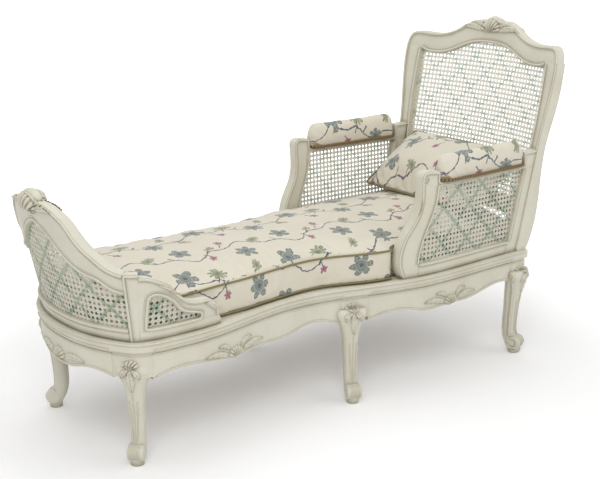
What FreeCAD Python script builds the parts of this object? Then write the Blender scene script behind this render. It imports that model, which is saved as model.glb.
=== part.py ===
import FreeCAD, Part
import math
import os

V = FreeCAD.Vector

# A caned daybed with arms and a raked back at one end and a low caned footboard
# at the other. X runs along its length, the foot towards -X. Z is up, the floor
# is at zero. Left is the sitter's left, -Y.

# Seat frame
SEAT_TOP = 332.0
RAIL_THICK = 34.0
BLOCK_THICK = 50.0
CAP_DEPTH = 28.0
CAP_PROUD = 6.0
CAP_ROUND = 5.0
APRON_ARCH = 85.0
APRON_LOW = 106.0
SEAT_REAR_X = 676.0
SEAT_FOOT_X = -753.0
FOOT_CORNER_X = -684.0
FOOT_CORNER_HALF = 234.0
FOOT_SIDE_X = -520.0
FOOT_SIDE_HALF = 269.0
WAIST_X = -165.0
WAIST_HALF = 217.0
ARM_SIDE_X = 300.0
ARM_SIDE_HALF = 301.0
REAR_HALF = 291.0
BOW_POWER = 2.4
PLAN_STEP = 75.0

# Legs
MID_LEG_X = 27.0
MID_LEG_TURN = -24.0
MID_LEG_SPLAY = 30.0
CORNER_LEG_TURN = -45.0
REAR_LEG_TURN = 20.0
LEG_BLOCK_HALF = 40.0
CORNER_BLOCK_X = -633.0
CORNER_BLOCK_HALF = 193.0
REAR_BLOCK_X = 618.0
KNEE_HALF = 42.0
TOE_RADIUS = 21.0
TOE_WIDTH = 42.0
PAD_RADIUS = 17.5
PAD_HEIGHT = 14.0

# Joinery of the seat frame
TENON_THICK = 12.0
TENON_LONG = 28.0
TENON_HIGH = 44.0
FOOT_TENON_SHIFT = 4.0
TENON_SINK = 8.0
CROSS_TENON_LONG = 20.0
PEG_RADIUS = 4.0
PEG_LONG = 34.0
SCREW_RADIUS = 2.2
SCREW_HEAD = 4.5
SCREW_HEAD_HIGH = 2.5
SCREW_LONG = 46.0
CORNER_BLOCK_HIGH = 44.0
CORNER_BLOCK_DEEP = 30.0
CORNER_BLOCK_DROP = 8.0
CROSS_RAIL_HIGH = 50.0
CROSS_RAIL_THICK = 26.0
CROSS_RAIL_SAG = 6.0
CROSS_RAIL_TENON = 12.0

# Seat deck: straps and their cloth lie in a rebate of the rails
REBATE_EDGE = 20.0
REBATE_DEEP = 12.0
WEB_THICK = 2.0
WEB_WIDE = 60.0
LONG_STRAPS = 4
CROSS_STRAPS = 10
DECK_GAP = 0.5

# Footboard and its side wings, a low flared wall round the foot end
WALL_INSET = 6.0
WALL_THICK = 24.0
WALL_FLARE = 0.20
WALL_TOP = 710.0
POST_FOOT_X = -682.0
POST_SIDE_X = -662.0
FOOT_CREST_Z = 664.0
FOOT_POST_Z = 515.0
CANE_SILL = 34.0
WING_END_X = -426.0
WING_TOP_Z = 502.0
WING_SADDLE_Z = 414.0

# Back
BACK_FRONT_X = 640.0
BACK_RAKE = 0.19
BACK_BOW = 35.0
BACK_BOW_HALF = 280.0
BACK_THICK = 28.0
BACK_SHOULDER_HALF = 325.0
BACK_SHOULDER_Z = 944.0
BACK_CREST_Z = 994.0
BACK_SILL_Z = 428.0
BACK_SILL_HIGH = 46.0
BACK_FRAME_WIDE = 58.0
BACK_TAPER = 20.0
SHELL_RISE = 16.0
SHELL_DEEP = 22.0
BACK_SHELL_HALF = 36.0
FOOT_SHELL_HALF = 40.0
FOOT_SHELL_HIGH = 26.0

# Arms
ARM_TOP = 640.0
ARM_FLARE = 0.0487
ARM_INSET = 6.0
ARM_THICK = 28.0
ARM_FRONT_X = 176.0
ARM_CANE_TOP = 590.0
ARM_LEDGE = 604.0
ARM_STILE_WIDE = 40.0
PAD_FRONT_X = 290.0
PAD_REAR_X = 634.0
PAD_TOP = 681.0
PAD_HALF = 27.0
PAD_CORE_HALF = 8.0
PAD_CORE_HIGH = 34.0
BRAID_THICK = 4.0
BRAID_HIGH = 8.0

# Cane
CANE_THICK = 3.0
CANE_DEPTH = 7.0
CANE_TUCK = 7.0

# Loose cushion and pillow
SOFT_GAP = 0.3
CUSHION_EDGE_Z = 421.0
CUSHION_TOP = 456.0
CUSHION_SIDE_GAP = 6.0
CUSHION_REAR_GAP = 4.0
CUSHION_EAR_GAP = 24.0
CUSHION_WAIST_HALF = 198.0
CUSHION_EAR_HALF = 262.0
PILLOW_HALF = 240.0
PILLOW_DEEP = 262.0
PILLOW_THICK = 148.0
PILLOW_TILT = 34.0
PILLOW_X = 597.0

pieces = {}


def spline(points):
    curve = Part.BSplineCurve()
    curve.interpolate(points)
    return curve


def wire_of(runs, place):
    """A closed wire of runs of points: two points make a straight run, more a curve."""
    edges = []
    for run in runs:
        points = [place(*point) for point in run]
        if len(points) == 2:
            edges.append(Part.LineSegment(points[0], points[1]).toShape())
        else:
            edges.append(spline(points).toShape())
    return Part.Wire(edges)


def side_plate(runs, y_first, y_last):
    """A plate whose outline is given in x and z, between two y."""
    outline = wire_of(runs, lambda x, z: V(x, y_first, z))
    return Part.Face(outline).extrude(V(0, y_last - y_first, 0))


def front_plate(runs, x_first, x_last):
    """A plate whose outline is given in y and z, between two x."""
    outline = wire_of(runs, lambda y, z: V(x_first, y, z))
    return Part.Face(outline).extrude(V(x_last - x_first, 0, 0))


def box(x_range, y_range, z_range):
    low = V(x_range[0], y_range[0], z_range[0])
    return Part.makeBox(x_range[1] - low.x, y_range[1] - low.y, z_range[1] - low.z, low)


def mirrored(shape):
    return shape.mirror(V(0, 0, 0), V(0, 1, 0))


def add(name, shape):
    pieces[name] = shape


def add_pair(name, shape):
    """The left piece as made, and the right one as its mirror image."""
    add(name + "_left", shape)
    add(name + "_right", mirrored(shape))


# The seat's plan: half its width at each x, and the bowed foot end.

def ease(share):
    return 0.5 - 0.5 * math.cos(math.pi * share)


def half_width(x):
    stations = [
        (FOOT_SIDE_X, FOOT_SIDE_HALF),
        (WAIST_X, WAIST_HALF),
        (ARM_SIDE_X, ARM_SIDE_HALF),
        (SEAT_REAR_X, REAR_HALF),
    ]
    if x < FOOT_SIDE_X:
        share = (x - FOOT_SIDE_X) / (FOOT_CORNER_X - FOOT_SIDE_X)
        return FOOT_SIDE_HALF - 0.06 * FOOT_SIDE_HALF * share ** 2
    for (x_a, half_a), (x_b, half_b) in zip(stations, stations[1:]):
        if x <= x_b:
            return half_a + (half_b - half_a) * ease((x - x_a) / (x_b - x_a))
    return REAR_HALF


def plan_points():
    side = []
    x = SEAT_REAR_X
    last_side_x = FOOT_CORNER_X + 0.19 * FOOT_CORNER_HALF
    steps = round((SEAT_REAR_X - last_side_x) / PLAN_STEP)
    for i in range(steps + 1):
        x = SEAT_REAR_X + (last_side_x - SEAT_REAR_X) * i / steps
        side.append((x, half_width(x)))
    for dx, dy in [(0.068, 0.064), (-0.009, -0.013), (-0.068, -0.111)]:
        side.append((FOOT_CORNER_X + dx * FOOT_CORNER_HALF, FOOT_CORNER_HALF * (1 + dy)))
    for share in (0.80, 0.64, 0.44, 0.22):
        x = SEAT_FOOT_X + (FOOT_CORNER_X - SEAT_FOOT_X) * share ** BOW_POWER
        side.append((x, FOOT_CORNER_HALF * share))
    left = [V(x, -half, 0) for x, half in side]
    right = [V(x, half, 0) for x, half in reversed(side)]
    return left + [V(SEAT_FOOT_X, 0, 0)] + right


PLAN_POINTS = plan_points()
PLAN = spline(PLAN_POINTS)
PLAN_MIDDLE = PLAN.parameter(V(SEAT_FOOT_X, 0, 0))


def plan_point(parameter, out, height):
    """A point on the plan curve, moved outwards, at a height."""
    point = PLAN.value(parameter)
    along = PLAN.tangent(parameter)[0]
    return V(point.x - along.y * out, point.y + along.x * out, height)


def station(x):
    """The parameter on the left half of the plan at an x."""
    low, high = PLAN.FirstParameter, PLAN_MIDDLE
    for _ in range(50):
        middle = (low + high) / 2
        if PLAN.value(middle).x > x:
            low = middle
        else:
            high = middle
    return (low + high) / 2


def plan_prism(out, rear_out, z_low, z_high):
    """All of the plan inside the curve moved outwards, as an upright prism."""
    points = [plan_point(PLAN.parameter(p), out, z_low) for p in PLAN_POINTS]
    rear_x = SEAT_REAR_X + rear_out
    first, last = points[0], points[-1]
    edges = [spline(points).toShape()]
    corners = [last, V(max(rear_x, last.x), last.y, z_low), V(max(rear_x, first.x), first.y, z_low), first]
    for a, b in zip(corners, corners[1:]):
        if a.distanceToPoint(b) > 0.001:
            edges.append(Part.LineSegment(a, b).toShape())
    prism = Part.Face(Part.Wire(edges)).extrude(V(0, 0, z_high - z_low))
    if rear_x < last.x:
        prism = prism.cut(box((rear_x, last.x + 1), (-600, 600), (z_low - 1, z_high + 1)))
    return prism


def wall_band(first, last, inset, thick, flare, z_low, z_high, beyond=0.0):
    """A stretch of wall on the plan curve between two parameters, flared outwards.

    Its first end can run on straight along X, beyond the curve's own end."""
    count = max(3, round(abs(last - first) / (PLAN_MIDDLE - PLAN.FirstParameter) * 30))
    sections = []
    for z in (z_low, z_high):
        out = flare * (z - SEAT_TOP) - inset
        outer, inner = [], []
        for i in range(count + 1):
            parameter = first + (last - first) * i / count
            outer.append(plan_point(parameter, out, z))
            inner.append(plan_point(parameter, out - thick, z))
        if beyond:
            outer.insert(0, outer[0] + V(beyond, 0, 0))
            inner.insert(0, inner[0] + V(beyond, 0, 0))
        edges = [
            spline(outer).toShape(),
            Part.LineSegment(outer[-1], inner[-1]).toShape(),
            spline(inner[::-1]).toShape(),
            Part.LineSegment(inner[0], outer[0]).toShape(),
        ]
        sections.append(Part.Wire(edges))
    return Part.makeLoft(sections, True, True)


# Seat frame

def seat_ring(thick):
    """The rails' full ring with its rounded cap moulding and the deck's rebate."""
    bottom = SEAT_TOP - APRON_LOW - 20
    ring = plan_prism(0, 0, bottom, SEAT_TOP)
    cap = plan_prism(CAP_PROUD, CAP_PROUD, SEAT_TOP - CAP_DEPTH, SEAT_TOP)
    rims = []
    for edge in cap.Edges:
        low = abs(edge.BoundBox.ZMax - (SEAT_TOP - CAP_DEPTH)) < 0.01
        high = abs(edge.BoundBox.ZMin - SEAT_TOP) < 0.01
        if low or high:
            rims.append(edge)
    cap = cap.makeFillet(CAP_ROUND, rims)
    hollow = plan_prism(-thick, -thick, bottom - 1, SEAT_TOP + 1)
    rebate = plan_prism(-REBATE_EDGE, -REBATE_EDGE, SEAT_TOP - REBATE_DEEP, SEAT_TOP + 1)
    return ring.fuse(cap).cut(hollow).cut(rebate).removeSplitter()


RAIL_RING = seat_ring(RAIL_THICK)
BLOCK_RING = seat_ring(BLOCK_THICK)
ARCH_Z = SEAT_TOP - APRON_ARCH
LOW_Z = SEAT_TOP - APRON_LOW


def apron(ring, x_range, shares):
    """The stretch of one side rail between two x, its lower edge cut to a curve."""
    x_a, x_b = x_range
    curve = []
    for share, rise in shares:
        curve.append((x_a + (x_b - x_a) * share, LOW_Z + (ARCH_Z - LOW_Z) * rise))
    top = SEAT_TOP + 1
    runs = [curve, [curve[-1], (x_b, top)], [(x_b, top), (x_a, top)], [(x_a, top), curve[0]]]
    return ring.common(side_plate(runs, -400, -100))


def side_rails():
    mid_a, mid_b = MID_LEG_X - LEG_BLOCK_HALF, MID_LEG_X + LEG_BLOCK_HALF
    foot_bay = [
        (0.0, 0.2), (0.06, 0.72), (0.14, 0.96), (0.24, 0.72), (0.32, 0.36), (0.39, 0.0),
        (0.405, -0.08), (0.42, 0.0), (0.47, 0.1), (0.60, 0.0), (0.72, 0.0), (0.785, 0.5),
        (0.86, 0.95), (0.94, 0.55), (1.0, -0.1),
    ]
    head_bay = [
        (0.0, 0.0), (0.07, 0.48), (0.16, 0.80), (0.24, 0.55), (0.32, 0.08), (0.42, 0.04),
        (0.485, 0.0), (0.505, -0.1), (0.525, 0.0), (0.61, 0.04), (0.70, 0.22), (0.80, 0.72),
        (0.88, 1.0), (0.95, 0.95), (1.0, 0.75),
    ]
    rails = {
        "side_rail_foot": apron(RAIL_RING, (CORNER_BLOCK_X, mid_a), foot_bay),
        "side_rail_head": apron(RAIL_RING, (mid_b, REAR_BLOCK_X), head_bay),
    }
    return rails


def end_rail(x_range, half, shares):
    """A rail across the seat, its lower edge mirrored about the middle."""
    right = [(half * share, LOW_Z + (ARCH_Z - LOW_Z) * rise) for share, rise in shares]
    left = [(-y, z) for y, z in right[::-1]]
    curve = left[:-1] + right
    top = SEAT_TOP + 1
    runs = [curve, [curve[-1], (half, top)], [(half, top), (-half, top)], [(-half, top), curve[0]]]
    return RAIL_RING.common(front_plate(runs, x_range[0], x_range[1]))


def leg_sections(splay):
    """Height, centre offset outwards, half width and half depth, from knee to ankle."""
    knee_z = SEAT_TOP - 62
    shapes = [
        (1.0, 12.0, 1.0, 0.60), (0.885, 14.0, 0.96, 0.59), (0.825, 11.0, 0.78, 0.56),
        (0.75, 8.0, 0.62, 0.53), (0.64, 5.0, 0.525, 0.49), (0.50, 2.0, 0.475, 0.46),
        (0.36, 0.0, 0.45, 0.445), (0.24, 1.0, 0.45, 0.44), (0.165, 6.0, 0.47, 0.45),
        (0.115, 12.0, 0.48, 0.46), (0.05, 20.0, 0.42, 0.41),
    ]
    rows = []
    for level, offset, wide, deep in shapes:
        z = knee_z * level
        lean = splay * (1 - level)
        rows.append((z, offset + lean, KNEE_HALF * wide, KNEE_HALF * deep))
    return rows


def rounded_ring(width, depth, centre, z):
    """A closed curve like a rounded square, its front edge drawn to a soft ridge."""
    points = []
    for i in range(16):
        angle = 2 * math.pi * i / 16
        c, s = math.cos(angle), math.sin(angle)
        x = width * math.copysign(abs(c) ** 0.7, c)
        y = depth * math.copysign(abs(s) ** 0.7, s)
        if y < 0:
            y *= 1 + 0.10 * (1 - abs(x) / width)
        points.append(V(x, y - centre, z))
    curve = Part.BSplineCurve()
    curve.interpolate(points, PeriodicFlag=True)
    return Part.Wire(curve.toShape())


def leg(centre, turn, splay):
    """A cabriole leg below its block, a scroll toe on a small round pad."""
    rows = leg_sections(splay)
    body = Part.makeLoft([rounded_ring(a, b, c, z) for z, c, a, b in rows], True, False)
    foot_out = 20.0 + splay
    toe_z = PAD_HEIGHT + TOE_RADIUS - 2
    toe = Part.makeCylinder(TOE_RADIUS, TOE_WIDTH, V(-TOE_WIDTH / 2, -foot_out - 3, toe_z), V(1, 0, 0))
    toe = toe.makeFillet(4, [e for e in toe.Edges if e.Length > TOE_RADIUS * 6])
    pad = Part.makeCylinder(PAD_RADIUS, PAD_HEIGHT + 4, V(0, -foot_out, 0))
    whole = body.fuse([toe, pad])
    whole.rotate(V(0, 0, 0), V(0, 0, 1), turn)
    whole.translate(V(centre[0], -centre[1], 0))
    return whole


def leg_block(x_range, y_range):
    zone = box(x_range, (-y_range[1], -y_range[0]), (ARCH_Z - 8, SEAT_TOP + 1))
    return BLOCK_RING.common(zone)


def seat_legs():
    mid_zone = (MID_LEG_X - LEG_BLOCK_HALF, MID_LEG_X + LEG_BLOCK_HALF)
    mid_centre = (MID_LEG_X - 2, half_width(MID_LEG_X) - BLOCK_THICK / 2)
    mid = leg_block(mid_zone, (100, 400)).fuse(leg(mid_centre, MID_LEG_TURN, MID_LEG_SPLAY))

    foot_zone = box((-900, CORNER_BLOCK_X), (-400, -CORNER_BLOCK_HALF), (ARCH_Z - 8, SEAT_TOP + 1))
    foot_centre = (FOOT_CORNER_X + 32, FOOT_CORNER_HALF - 25)
    foot = BLOCK_RING.common(foot_zone).fuse(leg(foot_centre, CORNER_LEG_TURN, 0.0))

    rear_centre = (SEAT_REAR_X - 28, REAR_HALF - 23)
    rear_zone = (REAR_BLOCK_X, SEAT_REAR_X + 50)
    rear_inner = REAR_HALF - BLOCK_THICK
    rear = leg_block(rear_zone, (rear_inner, 400)).fuse(leg(rear_centre, REAR_LEG_TURN, 0.0))
    return foot, mid, rear


# Footboard and wings

def grown(runs, place, tuck, along):
    """An outline grown all round by a tuck and extruded."""
    face = Part.Face(wire_of(runs, place))
    return face.makeOffset2D(tuck).toNurbs().extrude(along)


def closed_below(curve, floor_z):
    """Runs that close a top curve with two uprights and a straight foot."""
    (x_a, z_a), (x_b, z_b) = curve[0], curve[-1]
    return [
        curve,
        [(x_b, z_b), (x_b, floor_z)],
        [(x_b, floor_z), (x_a, floor_z)],
        [(x_a, floor_z), (x_a, z_a)],
    ]


def both_halves(half_curve):
    left = [(-y, z) for y, z in half_curve[::-1]]
    return left[:-1] + half_curve


def footboard():
    """The flared panel across the foot end: crest rail with its shell, sill and cane."""
    seam = station(POST_FOOT_X)
    wood = wall_band(
        seam, 2 * PLAN_MIDDLE - seam, WALL_INSET, WALL_THICK, WALL_FLARE, SEAT_TOP, WALL_TOP
    )
    rise = FOOT_CREST_Z - FOOT_POST_Z
    half = FOOT_CORNER_HALF
    crest = [
        (0.0, 1.0), (0.22, 1.0), (0.37, 0.965), (0.47, 0.89), (0.56, 0.79), (0.63, 0.635),
        (0.76, 0.35), (0.86, 0.21), (0.95, 0.08), (1.06, 0.0), (1.20, -0.04),
    ]
    opening = [
        (0.0, 0.62), (0.10, 0.565), (0.22, 0.46), (0.37, 0.24), (0.52, 0.03), (0.68, -0.107),
        (0.82, -0.175), (0.94, -0.31), (1.06, -0.37), (1.20, -0.40),
    ]
    crest = both_halves([(half * a, FOOT_POST_Z + rise * b) for a, b in crest])
    opening = both_halves([(half * a, FOOT_POST_Z + rise * b) for a, b in opening])
    far_x, near_x = SEAT_FOOT_X - 200, FOOT_CORNER_X + 100
    sill_z = SEAT_TOP + CANE_SILL
    outer = front_plate(closed_below(crest, SEAT_TOP - 1), far_x, near_x)
    hole_runs = closed_below(opening, sill_z)
    hole = front_plate(hole_runs, far_x, near_x)
    reach = V(near_x - far_x, 0, 0)
    cane = footboard_sheet().common(grown(hole_runs, lambda y, z: V(far_x, y, z), CANE_TUCK, reach))
    frame = wood.common(outer).cut(hole).cut(cane)
    seam_z = (sill_z + FOOT_POST_Z - 0.4 * rise) / 2
    crest_rail = frame.common(box((far_x, near_x), (-half * 2, half * 2), (seam_z, 900)))
    sill = frame.common(box((far_x, near_x), (-half * 2, half * 2), (0, seam_z)))
    shell_x = SEAT_FOOT_X + WALL_INSET - WALL_FLARE * (FOOT_CREST_Z - SEAT_TOP) + WALL_THICK / 2
    shell = shell_boss(V(shell_x, 0, FOOT_CREST_Z), FOOT_SHELL_HALF, FOOT_SHELL_HIGH, SHELL_DEEP)
    return crest_rail.fuse(shell), sill, cane


def footboard_sheet():
    """The cane's sheet across the foot end, its ends tucked into the corner posts."""
    tucked = station(POST_FOOT_X + 0.7 * CANE_TUCK)
    inset = WALL_INSET + CANE_DEPTH
    return wall_band(
        tucked, 2 * PLAN_MIDDLE - tucked, inset, CANE_THICK, WALL_FLARE, SEAT_TOP, WALL_TOP
    )


def shell_boss(centre, half, high, deep):
    """A plain rounded boss where a shell is carved, facing along X."""
    ball = Part.makeSphere(1.0)
    matrix = FreeCAD.Matrix()
    matrix.scale(deep, half, high)
    boss = ball.transformGeometry(matrix)
    boss.translate(centre)
    return boss


def footboard_post(cane):
    """The corner post between footboard and wing, cut level at its top."""
    first, last = station(POST_SIDE_X), station(POST_FOOT_X)
    wood = wall_band(first, last, WALL_INSET, WALL_THICK, WALL_FLARE, SEAT_TOP, WALL_TOP)
    return wood.common(box((-1000, 0), (-400, 0), (SEAT_TOP, FOOT_POST_Z))).cut(cane)


def wing():
    """The short side return: a top rail that ends in a scroll, a sill and cane."""
    first, last = station(WING_END_X), station(POST_SIDE_X)
    wood = wall_band(first, last, WALL_INSET, WALL_THICK, WALL_FLARE, SEAT_TOP, WALL_TOP)
    inset = WALL_INSET + CANE_DEPTH
    sheet = wall_band(first, last, inset, CANE_THICK, WALL_FLARE, SEAT_TOP, WALL_TOP)
    long = WING_END_X - POST_SIDE_X
    rise = WING_TOP_Z - WING_SADDLE_Z

    def at(share, level):
        return (POST_SIDE_X + long * share, WING_SADDLE_Z + rise * level)

    top = [
        at(-0.20, 1.06), at(-0.05, 1.05), at(0.064, 1.0), at(0.174, 0.865), at(0.292, 0.67),
        at(0.364, 0.455), at(0.445, 0.25), at(0.547, 0.08), at(0.674, 0.01), at(0.78, -0.01),
        at(0.86, -0.125), at(0.911, -0.295), at(0.945, -0.557), at(1.02, -0.84),
    ]
    opening = [
        at(0.075, 0.30), at(0.10, 0.43), at(0.178, 0.41), at(0.28, 0.26), at(0.37, 0.03),
        at(0.436, -0.17), at(0.56, -0.32), at(0.70, -0.43),
    ]
    sill_z = SEAT_TOP + CANE_SILL
    outer = side_plate(closed_below(top, SEAT_TOP - 1), -400, -150)
    hole_runs = closed_below(opening, sill_z)
    hole = side_plate(hole_runs, -400, -150)
    cane = sheet.common(grown(hole_runs, lambda x, z: V(x, -400, z), CANE_TUCK, V(0, 250, 0)))
    frame = wood.common(outer).cut(hole).cut(cane)
    seam_z = sill_z - CANE_TUCK
    rail = frame.common(box((-900, 0), (-400, 0), (seam_z, 900)))
    sill = frame.common(box((-900, 0), (-400, 0), (0, seam_z)))
    return rail, sill, cane


# Back

def back_slab(ahead, thick, z_low, z_high):
    """A raked slab with a bowed plan, its front face so far ahead of the back's face."""
    reach = BACK_SHOULDER_HALF + 60

    def arc(offset):
        def at(y):
            bow = BACK_BOW * (1 - (y / BACK_BOW_HALF) ** 2)
            return V(BACK_FRONT_X + bow + offset + BACK_RAKE * (z_low - SEAT_TOP), y, z_low)

        return Part.Arc(at(-reach), at(0), at(reach)).toShape()

    front = arc(-ahead)
    rear = arc(thick - ahead)
    ends = [
        Part.LineSegment(front.Vertexes[i].Point, rear.Vertexes[i].Point).toShape()
        for i in (0, 1)
    ]
    face = Part.Face(Part.Wire(Part.__sortEdges__([front, rear] + ends)))
    return face.extrude(V(BACK_RAKE * (z_high - z_low), 0, z_high - z_low))


def back_face_x(y, z):
    """Where the back's front face lies at a place."""
    return BACK_FRONT_X + BACK_BOW * (1 - (y / BACK_BOW_HALF) ** 2) + BACK_RAKE * (z - SEAT_TOP)


def back_outlines():
    """The back's outside edge and cane opening, right half from the middle out."""
    wide = BACK_SHOULDER_HALF
    rise = BACK_CREST_Z - BACK_SHOULDER_Z
    base = BACK_SHOULDER_Z
    high = base - SEAT_TOP
    crest = [
        (0.0, base + rise), (0.22 * wide, base + rise * 0.98), (0.33 * wide, base + rise * 0.66),
        (0.46 * wide, base + rise * 0.22), (0.66 * wide, base - rise * 0.06),
        (0.80 * wide, base - rise * 0.03), (0.88 * wide, base - rise * 0.01),
        (0.945 * wide, base - rise * 0.14), (0.985 * wide, base - rise * 0.60),
        (wide, base - 0.12 * high), (0.990 * wide, base - 0.22 * high),
        (0.955 * wide, base - 0.38 * high), (0.922 * wide, base - 0.60 * high),
        (0.905 * wide, base - 0.80 * high), (REAR_HALF - 1.0, SEAT_TOP),
    ]
    inner = wide - BACK_FRAME_WIDE
    drop = BACK_FRAME_WIDE * 1.16
    opening = [
        (0.0, base + rise - drop), (0.22 * wide, base + rise * 0.86 - drop),
        (0.36 * wide, base + rise * 0.52 - drop), (0.50 * wide, base + rise * 0.16 - drop),
        (0.64 * wide, base + rise * 0.02 - drop), (0.76 * wide, base + rise * 0.10 - drop),
        (inner, base - 0.09 * high),
    ]
    return crest, opening, inner


def back():
    """Crest rail, lower rail and cane of the back, and the plates that cut its posts."""
    crest, opening, inner = back_outlines()
    half_foot, foot_z = crest[-1]
    reach = BACK_FRONT_X - 100, BACK_FRONT_X + 300
    outer_runs = [both_halves(crest), [(half_foot, foot_z), (-half_foot, foot_z)]]
    outer = front_plate(outer_runs, *reach)

    sill_top = BACK_SILL_Z + BACK_SILL_HIGH
    foot_half = inner - BACK_TAPER
    hole_side = [
        opening[-1],
        (inner + 2.0, BACK_SHOULDER_Z - 0.16 * (BACK_SHOULDER_Z - SEAT_TOP)),
        (foot_half, sill_top),
    ]
    mirrored_side = [(-y, z) for y, z in hole_side[::-1]]
    hole_runs = [both_halves(opening), hole_side, [hole_side[-1], mirrored_side[0]], mirrored_side]
    hole = front_plate(hole_runs, *reach)
    open_below = front_plate(closed_below([(-foot_half, sill_top), (foot_half, sill_top)], 0), *reach)
    along = V(reach[1] - reach[0], 0, 0)
    tuck_face = grown(hole_runs, lambda y, z: V(reach[0], y, z), CANE_TUCK, along)
    wood = back_slab(0, BACK_THICK, SEAT_TOP, 1100)
    cane = back_slab(-CANE_DEPTH, CANE_THICK, SEAT_TOP, 1100).common(tuck_face)
    frame = wood.common(outer).cut(hole).cut(cane)

    crest_seam = opening[-1][1] + CANE_TUCK
    crest_zone = box(reach, (-500, 500), (crest_seam, 1100))
    middle_zone = box(reach, (-inner, inner), (BACK_SHOULDER_Z - 0.3 * (BACK_SHOULDER_Z - SEAT_TOP), 1100))
    crest_zone = crest_zone.fuse(middle_zone)
    crest_rail = frame.common(crest_zone)
    shell_x = back_face_x(0, BACK_CREST_Z) + BACK_THICK / 2
    shell = shell_boss(
        V(shell_x, 0, BACK_CREST_Z - SHELL_RISE), BACK_SHELL_HALF, 2 * SHELL_RISE, SHELL_DEEP
    )
    crest_rail = crest_rail.fuse(shell)
    sill_zone = box(reach, (-foot_half, foot_half), (BACK_SILL_Z, sill_top))
    sill = wood.common(sill_zone).cut(cane)
    cutters = [hole, open_below, cane, crest_zone]
    return crest_rail, sill, cane, outer, cutters


def back_stile(outer, cutters):
    """The left back post above the seat, its rear edge drawn in a soft S."""
    high = BACK_SHOULDER_Z - SEAT_TOP
    base_x = BACK_FRONT_X
    rear = [
        (SEAT_REAR_X, SEAT_TOP - 4), (SEAT_REAR_X + 24, SEAT_TOP + 0.075 * high),
        (SEAT_REAR_X + 43, SEAT_TOP + 0.25 * high), (SEAT_REAR_X + 53, SEAT_TOP + 0.52 * high),
        (SEAT_REAR_X + 76, SEAT_TOP + 0.69 * high), (SEAT_REAR_X + 94, SEAT_TOP + 0.91 * high),
        (SEAT_REAR_X + 112, SEAT_TOP + 1.02 * high),
    ]
    front_x = base_x - 60
    runs = [
        rear,
        [rear[-1], (front_x, rear[-1][1])],
        [(front_x, rear[-1][1]), (front_x, rear[0][1])],
        [(front_x, rear[0][1]), rear[0]],
    ]
    profile = side_plate(runs, -400, -150)
    thick = back_slab(0, BACK_THICK + 40, SEAT_TOP, 1100)
    return thick.common(outer).common(profile).cut(cutters).common(box((500, 900), (-400, 0), (0, 1100)))


# Arms

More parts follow.
